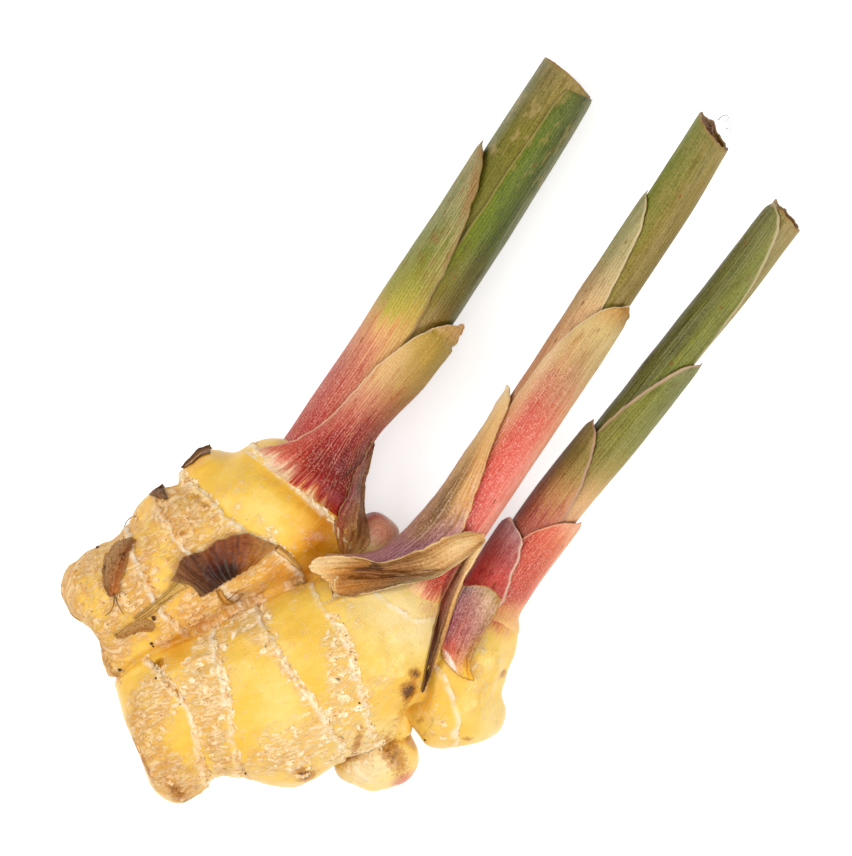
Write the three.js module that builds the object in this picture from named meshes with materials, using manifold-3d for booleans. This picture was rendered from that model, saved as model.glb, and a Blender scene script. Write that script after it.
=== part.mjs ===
// Young galangal: one branched rhizome with three cut leafy shoots, lying on a flat surface.
// Millimetres, +Z up. The shoots point along +Y, and the origin is on the surface, under the middle.
import * as THREE from "three";
import { mergeVertices } from "three/addons/utils/BufferGeometryUtils.js";
import Module from "manifold-3d";

const wasm = await Module();
wasm.setup();

// ---- Driving dimensions ----
const GAP = 0.3; // air between two pieces that lie against each other
const SHEATH = 0.5; // thickness of one rolled leaf sheath
const FACET_ROOM = 0.12; // extra room between sheaths, because a flat facet cuts inside its circle
const LAYER = GAP + SHEATH + FACET_ROOM; // how much further out each sheath sits than the one inside it
const SCALE = 0.6; // thickness of a dried scale leaf on the rhizome
const ROUNDNESS = 2.3; // superellipse power of a rhizome section: 2 is an ellipse, more is squarer
const RING_DIP = 0.7; // how much narrower the rhizome is at a node ring than between two of them
const RING_HALF = 2.4; // how far along the rhizome that narrowing reaches
const CORE_SIDES = 16; // facets round a shoot's core
const FACET = 25; // degrees of a shoot's round that one flat facet of a sheath spans
const TOP = 120; // higher than anything on the plant

// The left finger's sections: centre x, y, z, half width, half height.
// They all face along Y, because this finger's node rings run straight across.
const LEFT_FINGER = [
  [-39.5, -79.2, 12.5, 6.5, 7],
  [-38, -76.2, 13, 12.6, 11.5],
  [-35, -69, 13.6, 17, 14],
  [-33, -62, 13.8, 17, 14.4],
  [-29.8, -55, 14, 17, 14.6],
  [-27, -46.5, 14.3, 18.4, 14.9],
  [-22, -38.5, 14.4, 19, 15],
  [-18.5, -31, 14.3, 19.6, 15],
  [-17, -24.5, 14, 17.6, 13.6],
  [-17.6, -19.5, 14, 12.5, 10],
  [-18.4, -14, 14.2, 6, 6],
];
const LEFT_RINGS = [-75, -63, -51, -37.5, -24];

// The middle finger is the thickest. Its sections face along its own curved line, one at each ring.
const MIDDLE_FINGER = [
  [-18, -95, 13.5, 11, 9.5],
  [-15.6, -91.6, 14.2, 15.4, 13.4],
  [-10, -82, 15.6, 17.6, 15.8],
  [-2, -72, 16.8, 20.2, 17.4],
  [6, -61, 17.8, 21.6, 18.4],
  [13, -48.5, 18.4, 20.2, 18.7],
  [16.8, -36, 18.8, 14.8, 15.2],
  [17.4, -27, 19.2, 9.6, 10],
  [17.4, -19, 19.4, 5, 5],
];
const MIDDLE_RING_PITCH = 12;

// The right finger lies low, half under the middle one, with one ring across it.
const RIGHT_FINGER = [
  [36.4, -54.8, 11.5, 5.5, 6],
  [37.4, -52, 12, 9.4, 10],
  [37.8, -46.8, 12.4, 12.8, 12.8],
  [36.6, -40, 12.8, 12.8, 13.2],
  [36, -33, 13, 11.8, 12.2],
  [35.4, -26.5, 13, 10.2, 10.6],
  [34.4, -21, 13, 7.6, 8],
  [34.2, -16, 13, 5, 5],
];
const RIGHT_RING = -42;

// Buds and swellings grown on the fingers: centre x, y, z, then half sizes along x, y and z.
const SWELLINGS = [
  [-26, -76, 12, 13, 10.5, 12.4], // where the left and middle fingers fork from one broken base
  [-4.5, -93.6, 12, 7.8, 8.4, 11], // the broken base's corner
  [13.4, -73, 15.5, 11, 12, 14], // the middle finger's full lower side
  [46, -44, 12.5, 6.9, 7.2, 7.5], // a bud breaking at the right finger's side
  [33.6, -65.6, 9, 8.4, 8.2, 8.8], // the short bud in front
  [28, -60, 12, 8, 8, 10], // the short bud's neck
  [3.2, -24, 9.5, 5.2, 7, 6.6], // the pink bud between the left and middle shoots
  [-1, -36, 11, 9, 11, 9.5], // the pink bud's neck, in the crease between the two fingers
  [-35, -33, 13, 8.4, 7, 10], // two shoulders on the left finger's flank, each an old bud
  [-39.3, -48, 13, 8, 9, 10.4],
];

// Each shoot's line and its core's radius: x, y, z, radius, from its root to past its cut end.
const LEFT_SHOOT = [
  [-18.4, -26, 14.4, 7],
  [-18.5, -8, 14.4, 7.1],
  [-17.8, 10, 13.6, 7.7],
  [-18.2, 30, 12.2, 7.8],
  [-18.4, 50, 11, 7.6],
  [-19.1, 72, 9.6, 7.3],
  [-19.6, 91.5, 8.4, 6.9],
];
const MIDDLE_SHOOT = [
  [17.4, -26, 19.4, 4.8],
  [17.6, -8, 19.8, 5.1],
  [17.5, 10, 20.6, 5.1],
  [17.1, 32, 21.8, 5.4],
  [16.9, 55, 23, 5.4],
  [16.7, 80, 24.6, 5.4],
  [15.7, 100, 26, 5.1],
];
const RIGHT_SHOOT = [
  [34.2, -26, 13, 3.6],
  [34, -10, 13.4, 3.7],
  [34.5, 5, 14.2, 4],
  [36.5, 27, 16, 4.3],
  [38, 50, 18.4, 4.4],
  [39.8, 70, 20.8, 4.6],
  [41, 92.5, 23.6, 4.5],
];

// ---- Interpolation ----
// A Catmull-Rom value of every column of the rows, at t from 0 (first row) to 1 (last row).
function between(rows, t) {
  const last = rows.length - 1;
  const place = Math.min(Math.max(t, 0), 1) * last;
  const i = Math.min(Math.floor(place), last - 1);
  const u = place - i;
  const [a, b, c, d] = [i - 1, i, i + 1, i + 2].map((k) => rows[Math.min(Math.max(k, 0), last)]);
  return b.map((_, k) => {
    const slopeIn = (c[k] - a[k]) / 2;
    const slopeOut = (d[k] - b[k]) / 2;
    const rise = c[k] - b[k];
    const cubic = slopeIn + slopeOut - 2 * rise;
    return b[k] + u * (slopeIn + u * (rise - slopeIn - cubic + u * cubic));
  });
}

// The direction in which the rows' line runs at t.
function heading(rows, t) {
  const ahead = between(rows, Math.min(t + 0.02, 1));
  const behind = between(rows, Math.max(t - 0.02, 0));
  return new THREE.Vector3(...[0, 1, 2].map((k) => ahead[k] - behind[k])).normalize();
}

// A straight-line value from pairs [position, value], which run from high positions to low ones.
function profile(pairs, position) {
  if (position >= pairs[0][0]) {
    return pairs[0][1];
  }
  for (let i = 1; i < pairs.length; i++) {
    const [low, atLow] = pairs[i];
    const [high, atHigh] = pairs[i - 1];
    if (position >= low) {
      return atLow + ((atHigh - atLow) * (position - low)) / (high - low);
    }
  }
  return pairs[pairs.length - 1][1];
}

// ---- Closed meshes and solids ----
function geometryOf(points, faces) {
  const geometry = new THREE.BufferGeometry();
  const numbers = points.flatMap((point) => point.toArray());
  geometry.setAttribute("position", new THREE.Float32BufferAttribute(numbers, 3));
  geometry.setIndex(faces);
  return geometry;
}

// Closes a stack of equal rings with a fan at each end. Rings run anticlockwise seen from the last one.
function loft(rings) {
  const sides = rings[0].length;
  const points = rings.flat();
  const middle = (ring) => ring.reduce((sum, p) => sum.add(p), new THREE.Vector3()).divideScalar(sides);
  const first = points.push(middle(rings[0])) - 1;
  const last = points.push(middle(rings[rings.length - 1])) - 1;
  const top = (rings.length - 1) * sides;
  const faces = [];
  for (let j = 0; j < sides; j++) {
    const next = (j + 1) % sides;
    faces.push(first, next, j, last, top + j, top + next);
    for (let low = 0; low < top; low += sides) {
      const high = low + sides;
      faces.push(low + j, low + next, high + next, low + j, high + next, high + j);
    }
  }
  return geometryOf(points, faces);
}

// Closes two equal grids of points, an outer and an inner one, into a curved plate.
function plate(outer, inner) {
  const [rows, columns] = [outer.length, outer[0].length];
  const points = [...outer.flat(), ...inner.flat()];
  const out = (i, j) => i * columns + j;
  const inn = (i, j) => rows * columns + i * columns + j;
  const faces = [];
  const quad = (a, b, c, d) => faces.push(a, b, c, a, c, d);
  for (let i = 0; i < rows - 1; i++) {
    for (let j = 0; j < columns - 1; j++) {
      quad(out(i, j), out(i, j + 1), out(i + 1, j + 1), out(i + 1, j));
      quad(inn(i, j), inn(i + 1, j), inn(i + 1, j + 1), inn(i, j + 1));
    }
    const end = columns - 1;
    quad(out(i, 0), out(i + 1, 0), inn(i + 1, 0), inn(i, 0));
    quad(out(i, end), inn(i, end), inn(i + 1, end), out(i + 1, end));
  }
  for (let j = 0; j < columns - 1; j++) {
    const end = rows - 1;
    quad(out(0, j), inn(0, j), inn(0, j + 1), out(0, j + 1));
    quad(out(end, j), out(end, j + 1), inn(end, j + 1), inn(end, j));
  }
  return geometryOf(points, faces);
}

function manifoldOf(vertProperties, triVerts) {
  return new wasm.Manifold(new wasm.Mesh({ numProp: 3, vertProperties, triVerts }));
}

// A closed geometry as a solid, turned inside out where its faces point inwards.
function solidOf(geometry) {
  const bare = geometry.clone();
  bare.deleteAttribute("normal");
  bare.deleteAttribute("uv");
  const merged = mergeVertices(bare, 1e-4);
  const corners = new Uint32Array(merged.index.array);
  const solid = manifoldOf(merged.attributes.position.array, corners);
  if (solid.volume() > 0) {
    return solid;
  }
  return manifoldOf(merged.attributes.position.array, corners.reverse());
}

// A solid's largest body, because a cut can leave slivers beside it.
function largest(solid) {
  return solid.decompose().reduce((best, body) => (body.volume() > best.volume() ? body : best));
}

// ---- The rhizome ----
// One section: a superellipse, with its half width along side and its half height along +Z.
function section(centre, side, halfWidth, halfHeight, sides) {
  return Array.from({ length: sides }, (_, j) => {
    const angle = (2 * Math.PI * j) / sides;
    const [c, s] = [Math.cos(angle), Math.sin(angle)];
    const reach = (Math.abs(c) ** ROUNDNESS + Math.abs(s) ** ROUNDNESS) ** (-1 / ROUNDNESS);
    const up = new THREE.Vector3(0, 0, halfHeight * reach * s);
    return up.add(centre).addScaledVector(side, halfWidth * reach * c);
  });
}

// grow makes the finger thicker all over, and ringDistance(y, t) is the way to its nearest node ring.
// Its sections face along the finger, or all along facing.
function finger(rows, { grow, rings, sides, facing, ringDistance }) {
  const made = [];
  for (let i = 0; i <= rings; i++) {
    const t = i / rings;
    const [x, y, z, halfWidth, halfHeight] = between(rows, t);
    const ahead = facing ?? heading(rows, t).setZ(0).normalize();
    const side = new THREE.Vector3(ahead.y, -ahead.x, 0);
    const beyond = { 0: -grow, [rings]: grow }[i] ?? 0;
    const centre = new THREE.Vector3(x, y, z).addScaledVector(ahead, beyond);
    const extra = grow - RING_DIP * Math.exp(-((ringDistance(y, t) / RING_HALF) ** 2));
    made.push(section(centre, side, halfWidth + extra, halfHeight + extra, sides));
  }
  return solidOf(loft(made));
}

function swelling([x, y, z, halfX, halfY, halfZ], grow) {
  const ball = new THREE.SphereGeometry(1, 12, 8);
  return solidOf(ball.scale(halfX + grow, halfY + grow, halfZ + grow).translate(x, y, z));
}

// The fingers and swellings in one body, worn flat underneath where it rests.
function rhizome(grow) {
  const steps = MIDDLE_FINGER.length - 1;
  const lobes = [
    finger(LEFT_FINGER, {
      grow,
      rings: 20,
      sides: 22,
      facing: new THREE.Vector3(0, 1, 0),
      ringDistance: (y) => Math.min(...LEFT_RINGS.map((ring) => Math.abs(y - ring))),
    }),
    finger(MIDDLE_FINGER, {
      grow,
      rings: 22,
      sides: 22,
      ringDistance: (_, t) => Math.abs(t * steps - Math.round(t * steps)) * MIDDLE_RING_PITCH,
    }),
    finger(RIGHT_FINGER, { grow, rings: 12, sides: 18, ringDistance: (y) => Math.abs(y - RIGHT_RING) }),
    ...SWELLINGS.map((row) => swelling(row, grow)),
  ];
  const joined = lobes.reduce((sum, lobe) => sum.add(lobe));
  const below = solidOf(new THREE.BoxGeometry(2 * TOP, 2 * TOP, TOP).translate(0, 0, -TOP / 2));
  return largest(joined.subtract(below));
}

// ---- The shoots ----
// A shoot's centre and core radius at a given y.
function shootAt(shoot, y) {
  const found = shoot.findIndex((row) => row[1] >= y);
  const i = found < 0 ? shoot.length - 1 : Math.max(found, 1);
  const [a, b] = [shoot[i - 1], shoot[i]];
  const u = (y - a[1]) / (b[1] - a[1]);
  const [x, z, radius] = [0, 2, 3].map((k) => a[k] + (b[k] - a[k]) * u);
  return { x, z, radius };
}

// Angles round a shoot start at its top, +Z, and grow towards +X.
function around(shoot, y, angle, halfWidth, halfHeight) {
  const { x, z } = shootAt(shoot, y);
  return new THREE.Vector3(x + halfWidth * Math.sin(angle), y, z + halfHeight * Math.cos(angle));
}

// The rolled leaves at a shoot's heart, cut off across the top, with the hollow that shows there.
// slope is how much further the cut reaches on the +X side and on top than in the middle.
function core(shoot, { cut, slope, hollow, depth }) {
  const ring = (y, inset, tilt) =>
    Array.from({ length: CORE_SIDES }, (_, j) => {
      const angle = (2 * Math.PI * j) / CORE_SIDES;
      const level = y + tilt * (slope[0] * Math.sin(angle) + slope[1] * Math.cos(angle));
      const radius = shootAt(shoot, y).radius - inset;
      return around(shoot, level, angle, radius, radius);
    });
  const rings = shoot.filter(([, y]) => y < cut - 4).map(([, y]) => ring(y, 0, 0));
  rings.push(ring(cut, 0, 1), ring(cut, hollow, 0.7), ring(cut - depth, hollow + 0.4, 0));
  return solidOf(loft(rings));
}

// One leaf sheath: it wraps the shoot in its layer, up to half an angle either side of where it faces.
// All its profiles run down from the tip: reach holds [y, half angle], and lean how far the sheath
// stands off the shoot where it faces. spread and lift are how much wider and higher it is all round.
// It has a row of points wherever the shoot or one of the profiles bends.
function sheath(shoot, { layer, facing, reach, lean = [[0, 0]], spread = [[0, 0]], lift = [[0, 0]] }) {
  const widest = Math.max(...reach.map(([, half]) => half));
  const columns = Math.ceil((2 * widest) / FACET) + 1;
  const [top, bottom] = [reach[0][0], reach[reach.length - 1][0]];
  const bends = [...shoot.map(([, y]) => y), ...[reach, lean, spread, lift].flat().map(([y]) => y)];
  const levels = [...new Set(bends)].filter((y) => y <= top && y >= bottom).sort((a, b) => b - a);
  const grid = (inset) =>
    levels.map((y) =>
      Array.from({ length: columns }, (_, j) => {
        const off = profile(reach, y) * ((2 * j) / (columns - 1) - 1);
        const push = profile(lean, y) * Math.cos(THREE.MathUtils.degToRad(off) / 2) ** 4;
        const radius = shootAt(shoot, y).radius + layer * LAYER - inset + push;
        const angle = THREE.MathUtils.degToRad(facing + off);
        return around(shoot, y, angle, radius + profile(spread, y), radius + profile(lift, y));
      }),
    );
  return solidOf(plate(grid(0), grid(SHEATH)));
}

// A dry strip of husk along a line of rows: x, y, z, half width, arch height, roll in degrees.
function strip(rows, { steps, columns }) {
  const grid = (drop) =>
    Array.from({ length: steps + 1 }, (_, i) => {
      const [x, y, z, half, arch, roll] = between(rows, i / steps);
      const ahead = heading(rows, i / steps);
      const across = new THREE.Vector3(ahead.y, -ahead.x, 0).normalize();
      across.applyAxisAngle(ahead, THREE.MathUtils.degToRad(roll));
      const up = new THREE.Vector3().crossVectors(across, ahead);
      return Array.from({ length: columns }, (_, j) => {
        const s = (2 * j) / (columns - 1) - 1;
        const point = new THREE.Vector3(x, y, z).addScaledVector(across, half * s);
        return point.addScaledVector(up, -arch * s * s - drop);
      });
    });
  return solidOf(plate(grid(0), grid(SHEATH)));
}

// ---- Assembly ----
const plant = new THREE.Group();
const clear = rhizome(GAP); // the space that no other piece enters
const raised = rhizome(GAP + SCALE); // the outer surface of a scale leaf that lies on the rhizome

function add(name, solid, color, roughness) {
  const made = solid.getMesh();
  const geometry = new THREE.BufferGeometry();
  geometry.setAttribute("position", new THREE.BufferAttribute(made.vertProperties, 3));
  geometry.setIndex(new THREE.BufferAttribute(made.triVerts, 1));
  geometry.computeVertexNormals();
  const mesh = new THREE.Mesh(geometry, new THREE.MeshStandardMaterial({ color, roughness, metalness: 0 }));
  mesh.name = name;
  plant.add(mesh);
}

// Adds a piece, trimmed where it meets the rhizome.
function addTrimmed(name, solid, color, roughness) {
  add(name, largest(solid.subtract(clear)), color, roughness);
}

const YELLOW = 0xe9bd55;
const GREEN = 0x6c7a35;
const OLIVE = 0x8d8248;
const RED = 0xc4595a;
const PURPLE = 0x8c5560;
const HUSK = 0x9a7442;
const DARK = 0x5a3c28;
const WAXY = 0.45;
const LEAFY = 0.55;
const PAPERY = 0.8;

add("rhizome", rhizome(0), YELLOW, WAXY);

// The left shoot is the thickest, and lies nearly on the surface at its cut end.
addTrimmed(
  "left_shoot_core",
  core(LEFT_SHOOT, { cut: 91.3, slope: [-1, 0.4], hollow: 3, depth: 5 }),
  OLIVE,
  LEAFY,
);
addTrimmed(
  "left_shoot_inner_sheath",
  sheath(LEFT_SHOOT, { layer: 1, facing: 112, reach: [[90.6, 100], [84, 108], [50, 116], [-8, 122]] }),
  GREEN,
  LEAFY,
);
addTrimmed(
  "left_shoot_middle_sheath",
  sheath(LEFT_SHOOT, {
    layer: 2,
    facing: -80,
    reach: [[68, 6], [66.6, 24], [64, 38], [58, 54], [50, 68], [38, 83], [10, 98], [-17, 112]],
    lean: [[68, 0.9], [60, 0]],
  }),
  GREEN,
  LEAFY,
);
addTrimmed(
  "left_shoot_outer_sheath",
  sheath(LEFT_SHOOT, {
    layer: 3,
    facing: 80,
    reach: [
      [29.5, 10], [28.2, 28], [24, 50], [15, 75], [0, 93], [-8, 108], [-16, 120], [-24.5, 146],
    ],
    lean: [[29.5, 0.8], [24, 1.5], [15, 0.8], [5, 0], [0, 0]],
    spread: [[-2, 0], [-8, 0.8], [-16, 4], [-20, 6.6], [-24.5, 9.6]],
    lift: [[-2, 0], [-8, 0.3], [-16, 1.7], [-20, 3], [-24.5, 4.6]],
  }),
  RED,
  LEAFY,
);

// The middle shoot rises from the thickest finger, with dried outer leaves torn open round its foot.
addTrimmed(
  "middle_shoot_core",
  core(MIDDLE_SHOOT, { cut: 99.6, slope: [-1.4, -1.5], hollow: 1.5, depth: 9 }),
  OLIVE,
  LEAFY,
);
addTrimmed(
  "middle_shoot_inner_sheath",
  sheath(MIDDLE_SHOOT, {
    layer: 1,
    facing: -85,
    reach: [[79, 8], [77.8, 27], [75.4, 45], [70, 65], [62, 76], [51, 90], [-8, 118]],
  }),
  OLIVE,
  LEAFY,
);
addTrimmed(
  "middle_shoot_pink_sheath",
  sheath(MIDDLE_SHOOT, {
    layer: 2,
    facing: 45,
    reach: [
      [54.2, 8], [52.4, 26], [50, 43], [45, 62], [40, 76], [32, 90], [10, 104], [-20, 140], [-31, 160],
    ],
    spread: [[-12, 0], [-20, 0.3], [-31, 1.2]],
    lift: [[-12, 0], [-20, 1.2], [-26, 3.6], [-31, 5.2]],
  }),
  RED,
  LEAFY,
);
addTrimmed(
  "middle_shoot_long_husk",
  sheath(MIDDLE_SHOOT, {
    layer: 3,
    facing: -76,
    reach: [[23.6, 7], [21, 24], [15, 40], [5, 54], [0, 68], [-8, 84], [-20, 78], [-33, 50]],
    lean: [[23.6, 2.2], [15, 0.5], [5, 0], [-8, 0.2], [-15, 1.6], [-20, 4], [-27, 8], [-33, 12]],
  }),
  HUSK,
  PAPERY,
);
const CURLED_HUSK = [
  [0, -35.6, 32.6, 3, 0.8, -6],
  [4.8, -33.4, 34.6, 4.6, 2, -6],
  [9.6, -28, 35.2, 5.4, 3, -4],
  [13.8, -22.4, 33.6, 5.4, 3.2, 0],
  [18.2, -16.4, 31, 4.8, 2.4, 6],
  [22, -11.8, 29.6, 2.6, 0.9, 12],
  [24.2, -9, 28.6, 0.9, 0.2, 14],
];
addTrimmed("middle_shoot_curled_husk", strip(CURLED_HUSK, { steps: 12, columns: 7 }), HUSK, PAPERY);
const HUSK_SHRED = [
  [24, -13, 27.6, 0.8, 0.1, 20],
  [25.2, -19, 27.2, 1.5, 0.2, 30],
  [26.6, -27, 27, 1.9, 0.3, 34],
  [28.8, -35, 27.2, 1.9, 0.3, 42],
  [31.6, -42, 25.6, 1.2, 0.2, 52],
  [33.2, -46, 23.6, 0.5, 0.1, 56],
];
addTrimmed("middle_shoot_husk_shred", strip(HUSK_SHRED, { steps: 9, columns: 4 }), DARK, PAPERY);

// The right shoot has the most layers, and rises off the surface all the way to its cut end.
addTrimmed(
  "right_shoot_core",
  core(RIGHT_SHOOT, { cut: 92.2, slope: [-1.3, -0.9], hollow: 1.3, depth: 8 }),
  OLIVE,
  LEAFY,
);
addTrimmed(
  "right_shoot_green_sheath",
  sheath(RIGHT_SHOOT, {
    layer: 1,
    facing: -60,
    reach: [[92.3, 26], [90.4, 46], [88, 66], [82, 86], [74, 102], [60, 118], [0, 122]],
  }),
  GREEN,
  LEAFY,
);
addTrimmed(
  "right_shoot_collar_sheath",
  sheath(RIGHT_SHOOT, {
    layer: 2,
    facing: 72,
    reach: [[53, 8], [51.8, 28], [50, 44], [46, 64], [40, 84], [34, 102], [27, 116], [-5, 122]],
  }),
  GREEN,
  LEAFY,
);
addTrimmed(
  "right_shoot_olive_sheath",
  sheath(RIGHT_SHOOT, {
    layer: 3,
    facing: -72,
    reach: [[28, 8], [27, 27], [25, 44], [20, 65], [14, 84], [5, 102], [-10, 118]],
  }),
  OLIVE,
  LEAFY,
);
addTrimmed(
  "right_shoot_red_sheath",
  sheath(RIGHT_SHOOT, {
    layer: 4,
    facing: 70,
    reach: [[6.4, 10], [5.4, 32], [3, 54], [-2, 82], [-10, 104], [-18, 118], [-27, 130]],
    spread: [[-18, 0], [-27, 1.4]],
    lift: [[-10, 0], [-18, 0.6], [-27, 3.4]],
  }),
  RED,
  LEAFY,
);
addTrimmed(
  "right_shoot_purple_sheath",
  sheath(RIGHT_SHOOT, {
    layer: 5,
    facing: -62,
    reach: [[-2.2, 12], [-3, 32], [-6, 52], [-10, 64], [-18, 78], [-24, 66]],
    spread: [[-18, 0], [-27, 1.4]],
    lift: [[-10, 0], [-18, 0.6], [-27, 3.4]],
  }),
  PURPLE,
  LEAFY,
);
const TORN_SHEATH = [
  [31.2, -18.2, 25.4, 4.4, 1.2, 0],
  [31.8, -23, 26.4, 4.6, 1.4, 4],
  [33, -29, 27, 4.2, 1.3, 6],
  [34.8, -34, 27, 3.6, 0.9, 8],
  [37.4, -37.4, 26.8, 2.4, 0.4, 8],
  [40.4, -38.6, 26.4, 0.9, 0.1, 8],
];
addTrimmed("right_shoot_torn_sheath", strip(TORN_SHEATH, { steps: 9, columns: 5 }), PURPLE, PAPERY);

// Dried scale leaves that lie on the rhizome: each one's outline seen from above.
const SCALES = {
  fan_scale: [
    [-14, -37.2], [-19.5, -37.6], [-23.5, -39], [-26, -42.8], [-27.4, -47], [-31.4, -51.6],
    [-30.2, -55], [-30.8, -58], [-27, -56.2], [-22.4, -57], [-20, -51], [-16.4, -44.6],
  ],
  long_scale_shred: [
    [-27.3, -57.6], [-30, -58.8], [-31.2, -63], [-32.6, -69.6], [-30.4, -69.4], [-28.6, -63],
  ],
  dark_bud_scale: [
    [-44.6, -56], [-46.3, -59.5], [-45.2, -64.5], [-42.2, -68], [-39.2, -69], [-39.6, -65.5],
    [-41.4, -60.5], [-42.4, -56.4],
  ],
  small_bud_scale: [
    [-27.6, -68], [-30.2, -69.6], [-34.6, -74.6], [-32.8, -75.4], [-29.6, -72.2], [-27.4, -70],
  ],
  upper_flank_scale: [
    [-40, -27], [-42.6, -28.2], [-44.5, -32], [-44.5, -34.6], [-42.4, -33.4], [-40.6, -29.4],
  ],
  lower_flank_scale: [[-45.6, -41], [-41.8, -43], [-44, -44.6], [-48, -45], [-48, -42]],
};
const LOWEST_SCALE = 13; // no scale leaf reaches further down the rhizome's flank than this
for (const [name, outline] of Object.entries(SCALES)) {
  const shape = new THREE.Shape(outline.map(([x, y]) => new THREE.Vector2(x, y)));
  const column = new THREE.ExtrudeGeometry(shape, { depth: TOP, bevelEnabled: false });
  addTrimmed(name, solidOf(column.translate(0, 0, LOWEST_SCALE)).intersect(raised), DARK, PAPERY);
}

export default plant;
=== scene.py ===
# Young galangal as it was pulled and trimmed: one branched rhizome and three cut leafy shoots, lying down.
# Sizes are worked out in millimetres and made in metres. The shoots point along +Y.
import math

import bpy
import numpy as np
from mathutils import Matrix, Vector
from mathutils.bvhtree import BVHTree


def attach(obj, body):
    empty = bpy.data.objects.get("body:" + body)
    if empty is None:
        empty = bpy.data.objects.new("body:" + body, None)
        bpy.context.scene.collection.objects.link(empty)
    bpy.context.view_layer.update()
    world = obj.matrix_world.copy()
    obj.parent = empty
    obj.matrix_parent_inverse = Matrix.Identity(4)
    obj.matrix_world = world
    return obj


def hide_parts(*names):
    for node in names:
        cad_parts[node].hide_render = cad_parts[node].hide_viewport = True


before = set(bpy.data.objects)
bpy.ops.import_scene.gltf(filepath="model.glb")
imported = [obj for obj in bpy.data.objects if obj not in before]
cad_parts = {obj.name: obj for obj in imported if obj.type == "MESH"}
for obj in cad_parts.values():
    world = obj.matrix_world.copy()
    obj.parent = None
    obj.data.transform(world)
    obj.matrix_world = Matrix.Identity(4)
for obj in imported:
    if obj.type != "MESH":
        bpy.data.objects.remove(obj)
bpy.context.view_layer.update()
MM = 0.001

# ---- The rhizome ----
# One fleshy underground stem that forked into three fingers, with short buds between them. Its yellow flesh
# shows where the papery skin has rubbed off. Node rings with ragged skin edges cross it every 12 mm or so.
RHIZOME_FACE = 0.55
FINGERS = {  # each finger's line from its shoot down: x, y, z, radius
    "left": [
        (-18.4, -12, 14, 8), (-17.2, -24, 14, 16.5), (-21, -36, 14.4, 17.5), (-26, -47, 14.3, 16.5),
        (-33, -62, 13.8, 15.5), (-38, -76, 13, 12.5),
    ],
    "middle": [
        (17.4, -17, 19.4, 6), (17, -34, 18.8, 15.5), (13, -48.5, 18.2, 19.5), (6, -61, 17.6, 20),
        (-2, -72, 16.8, 18.8), (-10, -82, 15.6, 16.6), (-17, -93, 14, 13.5),
    ],
    "right": [(34.2, -14, 13, 5.5), (35.4, -26, 13, 10.5), (37, -41, 12.8, 13), (38, -49, 12.2, 10)],
    "front_bud": [(30, -61, 10, 6.5), (34, -66, 9, 8.6)],
    "pink_bud": [(-1, -36, 11, 9), (3.4, -22, 9.5, 6)],
}
RINGS = [  # finger, height of the skin's step, and the ring's line seen from above
    ("left", 0.3, [(-36, -20), (-30, -22.4), (-22, -23.6), (-12, -24), (-3, -27)]),
    ("left", 0.6, [(-44, -34), (-38, -36.6), (-30, -37.4), (-22, -38.2), (-13, -38), (-5, -40)]),
    ("left", 0.35, [(-47, -42), (-40, -46.5), (-32, -49), (-24, -51.5), (-14, -53)]),
    ("left", 0.55, [(-48, -52), (-41, -57), (-34, -61.4), (-27, -64.6), (-19, -66.6)]),
    ("middle", 0.06, [(-2, -33), (6, -33), (13, -32.8), (16, -33.8), (20, -33.4), (25, -31.4), (29, -29.4)]),
    ("middle", 0.2, [(-4, -39.6), (3, -42.6), (9, -45), (14, -48.4), (19, -52.4), (25, -58)]),
    ("middle", 0.6, [(-15, -50), (-8, -53), (1, -57), (8, -60), (14, -62.6), (22, -66), (27, -71)]),
    ("middle", 0.6, [(-17, -60), (-12, -65.4), (-5, -72), (0, -77.6), (5, -82.6), (11, -90)]),
    ("middle", 0.7, [(-22, -76.4), (-16, -77.4), (-10, -79.6), (-4, -84.4), (2, -91), (6, -97)]),
    ("right", 0.15, [(29, -38), (35, -40.6), (41, -45), (46, -52)]),
]
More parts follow.
